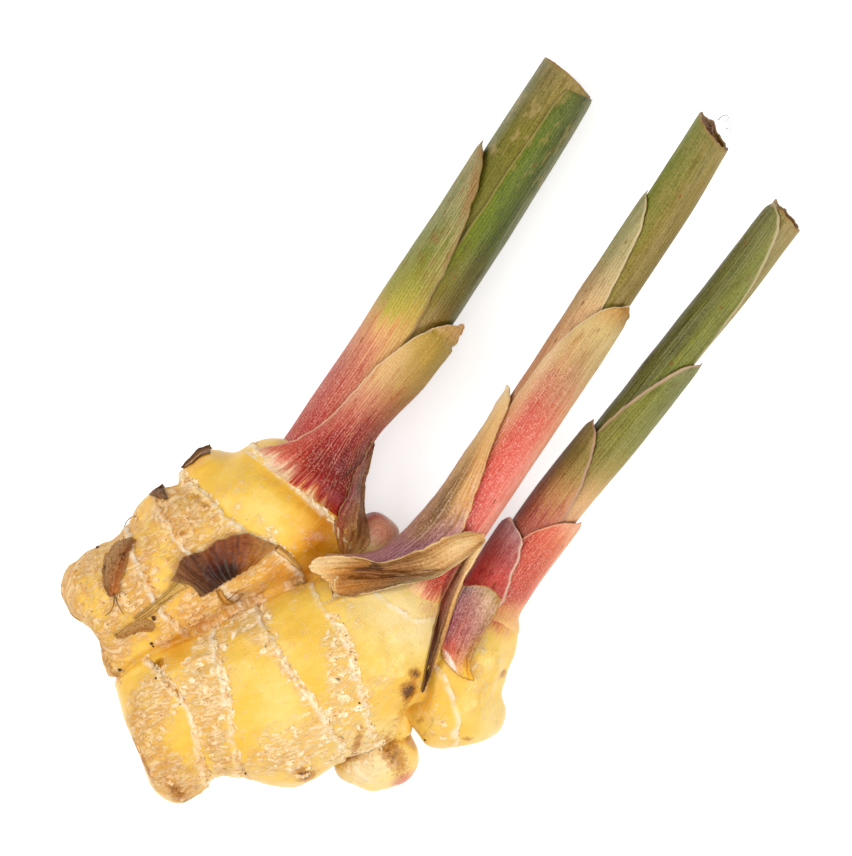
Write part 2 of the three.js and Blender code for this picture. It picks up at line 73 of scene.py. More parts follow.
# Papery skin: x, y, half length, half width, turn in degrees, amount. Less than nothing is a rubbed window.
SKIN = [
    (-38, -44, 9, 5, -30, 0.2), (-22, -43, 8, 4, -20, 0.15), (-45, -62, 6, 7, 40, 0.25),
    (-40, -31, 3, 3.5, 0, -0.7), (-45.5, -46.5, 2, 3, 0, -0.4), (-35.5, -56, 2, 4, 10, -0.35),
    (-32, -58, 1.8, 3.4, 0, -0.5), (-26, -60.5, 1.8, 3.6, 0, -0.6), (-42, -72, 4, 4.5, 30, -0.35),
    (-25.6, -78, 3, 5, 0, -0.55), (-12.5, -45, 3, 6, -20, -0.3), (-29, -70, 3, 3, 0, -0.3),
    (-20.4, -68, 3, 3, 0, -0.6), (-37, -50, 3, 2.4, 0, -0.3), (-17, -56, 2.5, 6, -10, -0.2),
    (-43, -51, 2.4, 4, 20, -0.3), (-31, -43, 3, 2, -20, -0.25), (-24, -62, 5, 1.6, -60, 0.3),
    (-9, -54.6, 7.5, 3.4, -22, 0.85), (4, -59.6, 8, 1.3, -24, 0.6), (-13.5, -60, 2.6, 6, 0, 0.5),
    (13.5, -51.8, 6.5, 3.4, -48, 0.5), (9.4, -47.6, 3.4, 2.6, 0, 0.4), (19.5, -59.5, 7, 4.6, -62, 0.5),
    (17, -71, 8, 5.4, -80, 0.62), (11, -79, 6, 5, -60, 0.6), (15, -83, 3.4, 2.6, 0, -0.35),
    (-11, -71.6, 8.5, 4.6, -52, 0.85), (-3.6, -79.4, 9, 3.2, -48, 0.8), (-18.6, -82.6, 7, 4.6, -62, 0.85),
    (-13, -93, 8, 3.8, -36, 0.75), (-2, -95.4, 6, 4.6, -40, 0.7), (3.6, -86, 4, 2.6, -50, 0.4),
    (-6, -41, 5, 1.6, -62, 0.34), (10, -41, 7, 1.5, -20, 0.25), (24, -50, 3, 7, 0, 0.25),
    (44, -37, 7, 3.6, -62, 0.3), (38, -50, 8, 3.6, -24, 0.4), (30, -66, 5.5, 6, 0, 0.4),
    (37, -32, 3, 4, 0, 0.2), (2, -20, 7, 6, 0, -0.5), (-29, -30, 4, 2, 60, 0.3),
    (-20, -35, 10, 1.5, -3, 0.32),
]
# How ripe the bare flesh's yellow is: the same columns, less than nothing is paler. Some rows in the creases
# between fingers, such as those at (-7, -31) and (-11.5, -41.5), are painted shade: a deeper orange where the
# crease is shaded.
RIPENESS_AND_CREASE_SHADE = [
    (18, -34, 15, 9, 0, -0.34), (40, -36, 12, 14, 0, -0.12), (34, -43, 6, 7, -20, 0.22),
    (8, -68, 9, 5, -50, -0.2), (33, -66, 9, 8, 0, -0.3), (-7, -31, 3.4, 8, -10, 0.36),
    (-16, -25.5, 10, 1.8, 0, 0.25), (-11.5, -41.5, 2.5, 4, -20, 0.35), (-43, -31, 3, 4, 0, 0.3),
    (-46.4, -46, 3, 4, 0, 0.1), (37, -35, 6, 3, -20, 0.25), (-22, -31, 6, 5, 0, -0.1),
    (-20, -70, 3, 4, 0, 0.2), (-32, -66, 10, 3, -20, 0.12), (-8, -74, 8, 3, -50, 0.15),
    (-24, -60, 4, 4, 0, 0.14), (-14, -56, 2, 6, 0, 0.2), (-11, -30, 7, 4, 0, 0.2), (2.5, -20, 6, 5, 0, -0.9),
    (31, -69, 4, 4, 0, -0.3), (51, -43, 3, 5, 0, -0.25), (-18, -31, 5, 5, 0, -0.1),
]
# Pink blush where shoots and buds break, and brown bruises and root scars: the same columns.
BLUSH = [
    (19, -29.8, 8, 2.4, 0, 0.15), (23.6, -29, 3, 3, 0, 0.4), (36, -20, 7, 5, 0, 0.9),
    (39, -24.4, 5, 2.6, -10, 0.3), (51.5, -43.5, 3, 4.4, 0, 0.35), (41.4, -67, 2.6, 3.8, -20, 1.0),
    (2, -20, 7, 6, 0, 0.85), (-2, -18, 2.5, 4, 0, 0.3), (-8, -25.6, 6, 1.6, 0, 0.3),
    (-20.6, -63, 1.2, 4, 10, 0.3), (42, -50, 5, 3, 0, 0.15), (-21, -75, 1, 3, 0, 0.4),
]
BRUISES = [
    (28.6, -43.8, 1.3, 1.2, 0, 0.95), (29.3, -48, 1.8, 2.0, 20, 0.95), (20.6, -78, 2.2, 1.8, 30, 0.95),
    (-1.6, -98.4, 4.5, 1.6, -18, 0.8), (35.4, -63, 5.4, 2.6, -30, 0.72), (26.6, -65, 1.0, 4.5, 16, 0.7),
    (-22, -75.6, 1.0, 1.6, 0, 0.9), (-15.6, -78.2, 4.5, 0.7, -10, 0.7), (-12, -96.6, 7, 0.7, -32, 0.7),
    (-44, -78.6, 7, 1.0, -14, 0.5), (-33, -82, 8, 1.0, -24, 0.5), (46, -33, 0.8, 1.4, 0, 0.6),
    (31, -52, 1, 6, 10, 0.4), (-36.6, -38.6, 1.4, 1.2, 0, 0.55), (-33.4, -38.8, 1.2, 1, 0, 0.55),
    (47.6, -50, 1.4, 0.6, 30, 0.6), (10, -86, 6, 0.8, -35, 0.4), (-34.4, -47.2, 0.7, 0.7, 0, 0.7),
    (36, -52.6, 0.8, 1.2, 0, 0.5),
]
# Where the root is fuller, or with a minus slimmer, than its plain fingers: the same columns, in millimetres.
SWELLS = [
    (-29, -20.5, 5, 3, 50, 1.5), (-44, -36.5, 3, 3, 0, 1.1), (-44.5, -30.5, 2, 3, 0, -0.7),
    (-45, -79, 7, 2, -10, -1.4), (-52, -73, 2, 4, 0, 0.8), (-52.5, -63, 2, 3, 0, 0.9),
    (-47.5, -57, 2, 3, 0, -0.9), (-36, -84, 5, 2, -30, -1.0), (-22, -93, 8, 2, -40, -1.0),
    (-13, -99, 7, 2, -35, -1.4), (3, -98, 1.5, 4, 0, -0.8), (7, -89, 4, 2.4, 30, -1.8),
    (13.6, -86.4, 4, 2, 25, 1.1), (25, -76, 1.5, 4, 0, 0.6), (28.5, -71.6, 3, 2.4, 20, 2.2),
    (40, -71, 3, 3, 40, -1.3), (33, -56, 4, 2, -20, 0.9), (41.6, -60, 2, 4, 20, 0.7),
    (44, -27, 2, 5, 30, -0.9), (47.5, -34, 1.5, 4, 10, -1.0), (52, -42, 2, 5, 0, 0.8),
    (49, -50, 3, 3, -40, 0.8), (4, -17, 4, 1.5, 0, -0.9),
]


def noise(points, size, seed):
    """Smooth random values from -1 to 1 at each point, with lumps about one size across."""
    table = np.random.default_rng(seed).uniform(-1, 1, (32, 32, 32))
    scaled = points / size + 100.5
    cell = np.floor(scaled).astype(int)
    part = scaled - cell
    part = part * part * (3 - 2 * part)
    total = np.zeros(points.shape[:-1])
    for corner in np.ndindex(2, 2, 2):
        share = np.prod(np.where(corner, part, 1 - part), axis=-1)
        i, j, k = np.moveaxis((cell + corner) % 32, -1, 0)
        total += share * table[i, j, k]
    return total


def soft_step(values, low, high):
    """0 below low, 1 above high, and a smooth rise between them."""
    t = np.clip((values - low) / (high - low), 0, 1)
    return t * t * (3 - 2 * t)


def beside_line(points, rows):
    """Seen from above: each point's way along the rows, the rows' values there and its offset to the left."""
    rows = np.array(rows, float)
    nearest = np.full(len(points), np.inf)
    along = np.zeros(len(points))
    offset = np.zeros(len(points))
    values = np.zeros((len(points), rows.shape[1]))
    travelled = 0.0
    for start, end in zip(rows[:-1], rows[1:]):
        step = end[:2] - start[:2]
        length = np.hypot(*step)
        away = points[:, :2] - start[:2]
        share = np.clip(away @ step / length**2, 0, 1)
        distance = np.hypot(*(away - share[:, None] * step).T)
        better = distance < nearest
        side = np.sign(step[0] * away[:, 1] - step[1] * away[:, 0])
        nearest = np.where(better, distance, nearest)
        along = np.where(better, travelled + share * length, along)
        offset = np.where(better, side * distance, offset)
        values = np.where(better[:, None], start + share[:, None] * (end - start), values)
        travelled += length
    return along, values, offset


def patches(points, rows):
    """The sum of soft ovals seen from above, each of its own amount."""
    total = np.zeros(len(points))
    for x, y, half_length, half_width, turn, amount in rows:
        c, s = math.cos(math.radians(turn)), math.sin(math.radians(turn))
        away = points[:, :2] - (x, y)
        length_share = (away[:, 0] * c + away[:, 1] * s) / half_length
        width_share = (away[:, 1] * c - away[:, 0] * s) / half_width
        total += amount * np.exp(-((length_share**2 + width_share**2) ** 1.3) * 0.7)
    return total


def array_of(items, field, width, kind=float):
    """One field of all a mesh's vertices or edges, as rows of width numbers."""
    flat = np.empty(len(items) * width, np.float32 if kind is float else np.int32)
    items.foreach_get(field, flat)
    return flat.reshape(-1, width).astype(kind)


def move_to(mesh, points):
    """Moves a mesh's vertices to points in millimetres."""
    mesh.vertices.foreach_set("co", (points * MM).astype(np.float32).ravel())
    mesh.update()


def store(mesh, values):
    """Keeps named numbers at each vertex, for the materials."""
    for name, numbers in values.items():
        attribute = mesh.attributes.new(name, "FLOAT", "POINT")
        attribute.data.foreach_set("value", np.ascontiguousarray(numbers, np.float32).ravel())


def linear(code):
    """A colour written as it looks, such as "e9bd55", in the linear values that a shader takes."""
    parts = [int(code[k : k + 2], 16) / 255 for k in (0, 2, 4)]
    return [*(p / 12.92 if p <= 0.04045 else ((p + 0.055) / 1.055) ** 2.4 for p in parts), 1.0]


class Paint:
    """A node material, put together as values that flow from one node to the next."""

    def __init__(self, name):
        self.material = bpy.data.materials.new(name)
        self.material.use_nodes = True
        self.tree = self.material.node_tree
        self.shader = self.tree.nodes["Principled BSDF"]

    def node(self, kind, inputs=(), **settings):
        made = self.tree.nodes.new("ShaderNode" + kind)
        for key, value in settings.items():
            setattr(made, key, value)
        for key, value in dict(inputs).items():
            self.plug(value, made.inputs[key])
        return made

    def plug(self, value, socket):
        if isinstance(value, str):
            value = linear(value)
        if isinstance(value, bpy.types.NodeSocket):
            self.tree.links.new(value, socket)
        else:
            socket.default_value = value

    def attribute(self, name):
        return self.node("Attribute", attribute_name=name).outputs["Fac"]

    def position(self):
        """The place on the object, in millimetres."""
        place = self.node("TexCoord").outputs["Object"]
        return self.node("VectorMath", {0: place, "Scale": 1 / MM}, operation="SCALE").outputs[0]

    def vector(self, x, y, z=0.0):
        return self.node("CombineXYZ", {0: x, 1: y, 2: z}).outputs[0]

    def math(self, operation, a, b=0.0, c=0.0):
        return self.node("Math", {0: a, 1: b, 2: c}, operation=operation).outputs[0]

    def sway(self, noise, amount, value):
        """The value, raised or lowered by a noise by up to half the amount."""
        return self.math("MULTIPLY_ADD", self.math("SUBTRACT", noise, 0.5), amount, value)

    def counted(self, where, size):
        """The place counted in sizes, which may differ along each axis."""
        sizes = size if isinstance(size, tuple) else (size, size, size)
        shares = tuple(1 / s for s in sizes)
        return self.node("VectorMath", {0: where, 1: shares}, operation="MULTIPLY").outputs[0]

    def noise(self, where, size, detail=3.0, roughness=0.55, distortion=0.0):
        """Noise from 0 to 1 with lumps of size."""
        inputs = {"Vector": self.counted(where, size), "Scale": 1.0, "Detail": detail}
        inputs.update({"Roughness": roughness, "Distortion": distortion})
        return self.node("TexNoise", inputs).outputs["Fac"]

    def cells(self, where, size):
        """The distance to the middle of the nearest of many cells, in cells."""
        inputs = {"Vector": self.counted(where, size), "Scale": 1.0}
        return self.node("TexVoronoi", inputs).outputs["Distance"]

    def step(self, value, low, high, at_low=0.0, at_high=1.0):
        inputs = {"Value": value, "From Min": low, "From Max": high, "To Min": at_low, "To Max": at_high}
        return self.node("MapRange", inputs, interpolation_type="SMOOTHSTEP").outputs["Result"]

    def mix(self, amount, a, b, blend="MIX"):
        made = self.node("Mix", data_type="RGBA", blend_type=blend, clamp_result=True)
        for value, socket in ((amount, 0), (a, 6), (b, 7)):
            self.plug(value, made.inputs[socket])
        return made.outputs[2]

    def ramp(self, value, stops):
        """A colour for each value, from stops of (value, colour) in rising order."""
        low, high = stops[0][0], stops[-1][0]
        share = self.math("MULTIPLY_ADD", value, 1 / (high - low), -low / (high - low))
        made = self.node("ValToRGB", {"Fac": share})
        band = made.color_ramp
        while len(band.elements) < len(stops):
            band.elements.new(0.5)
        for element, (place, _) in zip(band.elements, stops):
            element.position = (place - low) / (high - low)
        for element, (_, code) in zip(band.elements, stops):
            element.color = linear(code)
        return made.outputs["Color"]

    def finish(self, colour, roughness, height, haze, **sockets):
        """Joins colour, roughness and height in millimetres to the shader, and sets its plain numbers.
        The haze is what the surface's sheen adds, taken off so that a colour shows as it is written."""
        colour = self.mix(1.0, colour, haze, "SUBTRACT")
        bump = self.node("Bump", {"Height": height, "Distance": MM, "Strength": 1.0})
        self.plug(colour, self.shader.inputs["Base Color"])
        self.plug(roughness, self.shader.inputs["Roughness"])
        self.plug(bump.outputs["Normal"], self.shader.inputs["Normal"])
        for name, value in sockets.items():
            self.shader.inputs[name.replace("_", " ")].default_value = value
        return self.material


def rhizome_paint():
    paint = Paint("galangal_flesh_and_skin")
    where = paint.position()
    around, along = paint.attribute("around"), paint.attribute("along")
    lengthwise = paint.vector(around, along)
    fibre = paint.noise(lengthwise, (0.5, 4.0, 1.0), 4.0, 0.6)
    coarse = paint.noise(lengthwise, (2.2, 6.0, 1.0), 4.0, 0.6, 0.6)
    feather = paint.noise(paint.vector(around, along, 4.0), (1.0, 2.3, 1.0), 6.0, 0.66, 0.9)
    blotch = paint.noise(where, 3.2, 5.0, 0.62)
    crumb = paint.noise(where, 1.1, 5.0, 0.72)
    fine = paint.noise(where, 0.42, 3.0, 0.65)
    thin = paint.noise(paint.vector(around, along, 9.0), (3.0, 5.5, 1.0), 3.0, 0.6, 0.8)

    # The papery skin: how thick it is, frayed along the fibres and worn in blotches and crumbs.
    frayed = paint.sway(fibre, 0.9, paint.attribute("skin"))
    frayed = paint.sway(blotch, 1.4, frayed)
    frayed = paint.sway(crumb, 0.9, frayed)
    skin = paint.step(frayed, 0.12, 0.7)
    flake = paint.math("MULTIPLY_ADD", paint.math("SUBTRACT", frayed, 0.4), 0.1, feather)
    flake = paint.math("MULTIPLY", paint.step(flake, 0.5, 0.6), paint.step(frayed, 0.0, 0.4))

    # The flesh: pale near the shoots, golden, faintly streaked along the finger, and a deeper orange in the
    # creases, which is painted shade.
    tone = paint.sway(coarse, 0.24, paint.attribute("ripe_and_crease_shade"))
    tone = paint.sway(blotch, 0.2, tone)
    tone = paint.sway(fine, 0.12, tone)
    flesh_tones = [
        (0.0, "fbe3ac"), (0.22, "f9d67c"), (0.42, "f4c656"), (0.6, "edb346"), (0.78, "dc9832"),
        (1.0, "b5661e"),
    ]
    flesh = paint.ramp(tone, flesh_tones)
    flesh = paint.mix(paint.step(fibre, 0.58, 0.75, 0.0, 0.22), flesh, "fdeec4")
    flesh = paint.mix(paint.step(crumb, 0.6, 0.74, 0.0, 0.3), flesh, "fdf0d0")
    flesh = paint.mix(paint.step(fine, 0.5, 0.3, 0.0, 0.25), flesh, "e0a040")

    # The skin's own colour runs from brown cracks over tan and golden fibres to pale flakes.
    grain = paint.math("MULTIPLY", feather, 0.4)
    grain = paint.math("MULTIPLY_ADD", fibre, 0.3, grain)
    grain = paint.math("MULTIPLY_ADD", fine, 0.14, grain)
    grain = paint.math("MULTIPLY_ADD", crumb, 0.16, grain)
    skin_tones = [
        (0.36, "b4702e"), (0.41, "d89c50"), (0.455, "e8b46a"), (0.495, "efc07a"), (0.535, "f4cc8c"),
        (0.575, "f9daa6"), (0.63, "fce8c6"),
    ]
    skin_colour = paint.ramp(grain, skin_tones)
    skin_colour = paint.mix(
        paint.math("MULTIPLY", paint.attribute("age"), 0.8), skin_colour, "e6cdb4", "MULTIPLY",
    )
    cover = paint.math("MULTIPLY", skin, paint.step(thin, 0.38, 0.56, 0.4, 0.92))
    colour = paint.mix(cover, flesh, skin_colour)
    colour = paint.mix(paint.math("MULTIPLY", flake, 0.36), colour, "fae4c0")
    seam = paint.math("ABSOLUTE", paint.math("SUBTRACT", paint.noise(where, 5.0, 6.0, 0.7, 1.0), 0.5))
    seam = paint.math("MULTIPLY", paint.step(seam, 0.012, 0.003), paint.step(fine, 0.4, 0.6))
    seam = paint.math("MULTIPLY", seam, paint.step(paint.attribute("age"), 0.0, 1.0, 0.2, 0.7))
    colour = paint.mix(paint.math("MULTIPLY", skin, seam), colour, "9c6430")

    # Node rings: a pale ragged edge of skin, and just below its step a thin brown line, which is painted
    # shadow.
    ring = paint.sway(coarse, 2.0, paint.attribute("ring"))
    ring = paint.sway(crumb, 1.0, ring)
    line = paint.math("MULTIPLY", paint.step(ring, 0.0, 0.15), paint.step(ring, 0.5, 0.2))
    edge = paint.math("MULTIPLY", paint.step(ring, -1.7, -0.3), paint.step(ring, 0.2, 0.0))
    broken = paint.step(thin, 0.36, 0.56)
    colour = paint.mix(
        paint.math("MULTIPLY", edge, paint.math("MULTIPLY_ADD", broken, 0.6, 0.15)), colour, "fcebd0",
    )
    # The thin brown line below the ring's step is painted shadow.
    colour = paint.mix(paint.math("MULTIPLY", line, paint.math("MULTIPLY", broken, 0.3)), colour, "c4883e")

    # Pink blush in streaks, then brown bruises, root scars and specks of soil.
    pink = paint.sway(fibre, 0.9, paint.attribute("blush"))
    pink = paint.sway(fine, 0.9, pink)
    colour = paint.mix(paint.step(pink, 0.2, 1.1, 0.0, 0.9), colour, "d2605a")
    brown = paint.sway(crumb, 1.3, paint.attribute("bruise"))
    brown = paint.sway(fine, 0.6, brown)
    colour = paint.mix(paint.step(brown, 0.2, 0.6, 0.0, 0.75), colour, "bc7422")
    colour = paint.mix(paint.step(brown, 0.6, 1.05, 0.0, 0.9), colour, "54300c")
    speck = paint.cells(where, 5.2)
    colour = paint.mix(paint.step(speck, 0.04, 0.028, 0.0, 0.6), colour, "7c5028")

    # The relief: fine fibres, crumbs and flakes, stronger where there is skin.
    veins = paint.math("SUBTRACT", paint.noise(lengthwise, (0.5, 4.0, 1.0), 0.0), 0.5)
    crumbs = paint.math("SUBTRACT", paint.noise(where, 1.1, 2.0, 0.4), 0.5)
    height = paint.math("MULTIPLY", paint.noise(where, 0.4, 0.0), 0.05)
    height = paint.math("MULTIPLY_ADD", flake, 0.07, height)
    height = paint.math("MULTIPLY_ADD", veins, paint.step(skin, 0.0, 1.0, 0.02, 0.09), height)
    height = paint.math("MULTIPLY_ADD", crumbs, paint.step(skin, 0.0, 1.0, 0.05, 0.16), height)
    height = paint.math("MULTIPLY_ADD", paint.noise(where, 3.4, 1.0, 0.4), 0.3, height)
    roughness = paint.step(skin, 0.0, 1.0, 0.34, 0.62)
    return paint.finish(
        colour, roughness, height, "282828",
        Subsurface_Weight=0.05, Subsurface_Radius=(1.0, 0.6, 0.3), Subsurface_Scale=0.0015,
        Specular_IOR_Level=0.4,
    )


def even_copy(node, face, name):
    """A copy of a CAD node's mesh with even faces, as a new object."""
    piece = bpy.data.objects.new(name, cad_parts[node].data.copy())
    bpy.context.scene.collection.objects.link(piece)
    voxels = piece.modifiers.new("even_faces", "REMESH")
    voxels.mode = "VOXEL"
    voxels.voxel_size = face * MM
    voxels.use_smooth_shade = True
    graph = bpy.context.evaluated_depsgraph_get()
    mesh = bpy.data.meshes.new_from_object(piece.evaluated_get(graph))
    piece.modifiers.clear()
    piece.data = mesh
    return piece


def relaxed(points, edges, rounds):
    """The points after each has moved half way to the middle of its neighbours, a number of times."""
    a, b = edges.T
    count = len(points)
    neighbours = np.bincount(a, minlength=count) + np.bincount(b, minlength=count)
    for _ in range(rounds):
        sums = [
            np.bincount(a, points[b, k], count) + np.bincount(b, points[a, k], count) for k in range(3)
        ]
        points = (points + np.stack(sums, 1) / neighbours[:, None]) / 2
    return points


rhizome = even_copy("rhizome", RHIZOME_FACE, "rhizome_flesh")
points = array_of(rhizome.data.vertices, "co", 3) / MM
points = relaxed(points, array_of(rhizome.data.edges, "vertices", 2, int), 55)
move_to(rhizome.data, points)
normals = array_of(rhizome.data.vertex_normals, "vector", 3)

found = {name: beside_line(points, rows) for name, rows in FINGERS.items()}
depths = []
for along, values, offset in found.values():
    rise = points[:, 2] - values[:, 2]
    depths.append(np.hypot(offset, rise) / values[:, 3])
depths = np.array(depths)
owner = depths.argmin(0)
first, second = np.sort(depths, axis=0)[:2]
crease = np.exp(-(((second - first) / 0.1) ** 2))
along = np.choose(owner, [f[0] for f in found.values()])
around = np.zeros(len(points))
painted_around = np.zeros(len(points))
for index, (_, values, offset) in enumerate(found.values()):
    turn = np.arctan2(offset, points[:, 2] - values[:, 2])
    around = np.where(owner == index, turn * values[:, 3], around)
    # The paint's turn runs back again past two thirds of the way down, so that both sides meet underneath.
    back = 2 * np.sign(turn) * (math.pi - np.abs(turn))
    back = np.where(np.abs(turn) > math.pi * 2 / 3, back, turn)
    painted_around = np.where(owner == index, back * values[:, 3], painted_around)

ring = np.full(len(points), 9.0)
swell = np.zeros(len(points))
wander = 0.9 * noise(points, 5.0, 11) + 0.35 * noise(points, 1.7, 12)
for name, rise, line in RINGS:
    ends = np.array(line, float)
    before, after = ends[0] * 8 - ends[1] * 7, ends[-1] * 8 - ends[-2] * 7
    _, _, offset = beside_line(points, [before, *line, after])
    signed = offset + wander
    mine = owner == list(FINGERS).index(name)
    over, under = np.exp(np.minimum(signed, 0) / 3.4), -0.55 * np.exp(-np.maximum(signed, 0) / 1.6)
    step = over + (under - over) * soft_step(signed, -0.5, 0.5)
    swell += np.where(mine, rise * step, 0)
    ring = np.where(mine & (np.abs(signed) < np.abs(ring)), signed, ring)
below_ring = beside_line(points, [(-110, -20), *RINGS[1][2], (60, -58)])[2] + wander
skin = np.where(owner == 0, 0.66 * soft_step(-below_ring, -0.5, 0.8), 0.0) + patches(points, SKIN)
skin += 0.25 * soft_step(4.0 - points[:, 2], 0, 3) - 0.15 * crease
blush = patches(points, BLUSH)
fibres = noise(np.stack([around / 1.1, along / 7, np.zeros(len(points))], 1), 1.0, 13)
buds = list(FINGERS).index("front_bud")
swell += 0.55 * noise(points, 8.5, 14) + 0.3 * noise(points, 3.6, 15) - 1.4 * crease
swell += np.where(owner >= buds, 0.8, 0) + patches(points, SWELLS)
swell += np.clip(skin, 0, 1) * (0.34 * fibres + 0.26 * noise(points, 1.7, 16) + 0.1)
points = points + normals * (swell + 0.15)[:, None]
points[:, 2] = np.maximum(points[:, 2], 0.02)
move_to(rhizome.data, points)
# A little deeper orange along the creases between fingers: painted shade.
ripe_and_crease_shade = 0.44 + patches(points, RIPENESS_AND_CREASE_SHADE) + 0.08 * crease
age = np.where(owner == 0, soft_step(-below_ring, 0, 3), soft_step(-points[:, 1], 70, 92) * (owner == 1))
store(
    rhizome.data,
    {
        "skin": skin, "ripe_and_crease_shade": ripe_and_crease_shade, "blush": blush, "bruise": patches(points, BRUISES), "ring": ring,
        "along": along, "around": painted_around, "age": age,
    },
)
rhizome.data.materials.clear()
rhizome.data.materials.append(rhizome_paint())
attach(rhizome, "root")
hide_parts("rhizome")


def surface_of(piece):
    """A piece's surface in millimetres, for other pieces to lie on."""
    corners = array_of(piece.data.vertices, "co", 3) / MM
    faces = [tuple(face.vertices) for face in piece.data.polygons]
    return BVHTree.FromPolygons([Vector(corner) for corner in corners], faces)


def height_at(surface, x, y):
    """How high a surface in millimetres is at a place seen from above, or None beside it."""
    hit = surface.ray_cast(Vector((x, y, ABOVE_ALL)), Vector((0, 0, -1)))[0]
    return hit.z if hit else None


ABOVE_ALL = 60  # higher than anything on the plant
ground = surface_of(rhizome)

# ---- The left shoot's core ----
# The rolled young leaves at the heart of the shoot. Their layers show as rings in the cut end, which has
# dried brown; down its hollow the colour is painted darker, to near-black at the floor, as the hollow's
# shade.
# All three shoots have such a core, and every sheath lies round one, layer on layer.
LAYER = 0.92  # how much further out each sheath lies than the one inside it
SHEATH = 0.5  # thickness of a sheath
TIGHT = 0.4  # how much closer to the core a sheath's margins lie than its middle
LEFT_SHOOT = [  # x, y, z, core radius
    (-18.4, -26, 14.4, 7), (-18.5, -8, 14.4, 7.1), (-17.8, 10, 13.6, 7.7), (-18.2, 30, 12.2, 7.8),
    (-18.4, 50, 11, 7.6), (-19.1, 72, 9.6, 7.5), (-19.6, 91.5, 8.4, 7.15),
]


def rounded(pairs, reach=3.0):
    """A function through pairs of (position, value), straight between them but with its bends rounded off."""
    pairs = sorted(pairs)
    places = np.arange(pairs[0][0], pairs[-1][0] + 0.25, 0.25)
    values = np.interp(places, *zip(*pairs))
    half = min(int(reach / 0.25), len(places) - 1)
    kernel = np.hanning(2 * half + 3)[1:-1]
    padded = np.pad(values, half, mode="reflect", reflect_type="odd")
    smooth = np.convolve(padded, kernel / kernel.sum(), mode="valid")
    return lambda position: np.interp(position, places, smooth)


def shoot_line(rows):
    """Functions of y for a shoot's x, z and core radius."""
    return [rounded([(row[1], row[k]) for row in rows], 9.0) for k in (0, 2, 3)]


def around_shoot(line, y, angle, wide, high):
    """A point round a shoot. Angles start at its top and grow towards +X, in radians."""
    x, z = line[0](y), line[1](y)
    return np.stack(np.broadcast_arrays(x + wide * np.sin(angle), y, z + high * np.cos(angle)), -1)


def new_piece(name, parts, values, node, material):
    """Makes a piece of closed grids. Each part is (points, wraps). Values hold one number a point."""
    all_points, all_quads, all_caps, base = [], [], [], 0
    for grid, wraps in parts:
        rows, columns = grid.shape[:2]
        index = base + np.arange(rows * columns).reshape(rows, columns)
        if wraps:
            index = np.concatenate([index, index[:, :1]], 1)
        quads = np.stack([index[:-1, :-1], index[:-1, 1:], index[1:, 1:], index[1:, :-1]], -1).reshape(-1, 4)
        flat = grid.reshape(-1, 3)
        ends = [index[0, ::-1][:columns], index[-1][:columns]]
        a, b, c, d = (flat[quads[:, k] - base] for k in range(4))
        facing_out = np.sum(np.cross(a - flat.mean(0), b - flat.mean(0)) * (c - flat.mean(0)))
        facing_out += np.sum(np.cross(a - flat.mean(0), c - flat.mean(0)) * (d - flat.mean(0)))
        if facing_out < 0:
            quads = quads[:, ::-1]
            ends = [end[::-1] for end in ends]
        all_points.append(flat)
        all_quads.append(quads)
        all_caps += ends if wraps else []
        base += rows * columns
    flat, quads = np.concatenate(all_points), np.concatenate(all_quads)
    loops = np.concatenate([quads.ravel(), *all_caps]).astype(np.int32)
    sizes = [4] * len(quads) + [len(cap) for cap in all_caps]
    mesh = bpy.data.meshes.new(name)
    mesh.vertices.add(len(flat))
    mesh.vertices.foreach_set("co", (flat * MM).astype(np.float32).ravel())
    mesh.loops.add(len(loops))
    mesh.loops.foreach_set("vertex_index", loops)
    mesh.polygons.add(len(sizes))
    mesh.polygons.foreach_set("loop_start", np.concatenate([[0], np.cumsum(sizes)[:-1]]).astype(np.int32))
    mesh.polygons.foreach_set("use_smooth", np.ones(len(sizes), bool))
    mesh.update(calc_edges=True)
    mesh.validate()
    mesh.set_sharp_from_angle(angle=math.radians(50))
    store(mesh, values)
    mesh.materials.append(material)
    piece = bpy.data.objects.new(name, mesh)
    bpy.context.scene.collection.objects.link(piece)
    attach(piece, "root")
    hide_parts(node)
    return piece


def new_shell(name, outer, inner, values, node, material):
    """A thin leaf, closed round from its outer face over its inner one, with the same numbers on both."""
    grid = np.concatenate([outer, inner[:, ::-1]], 1)
    values = {key: np.concatenate([value, value[:, ::-1]], 1) for key, value in values.items()}
    return new_piece(name, [(grid, True)], values, node, material)


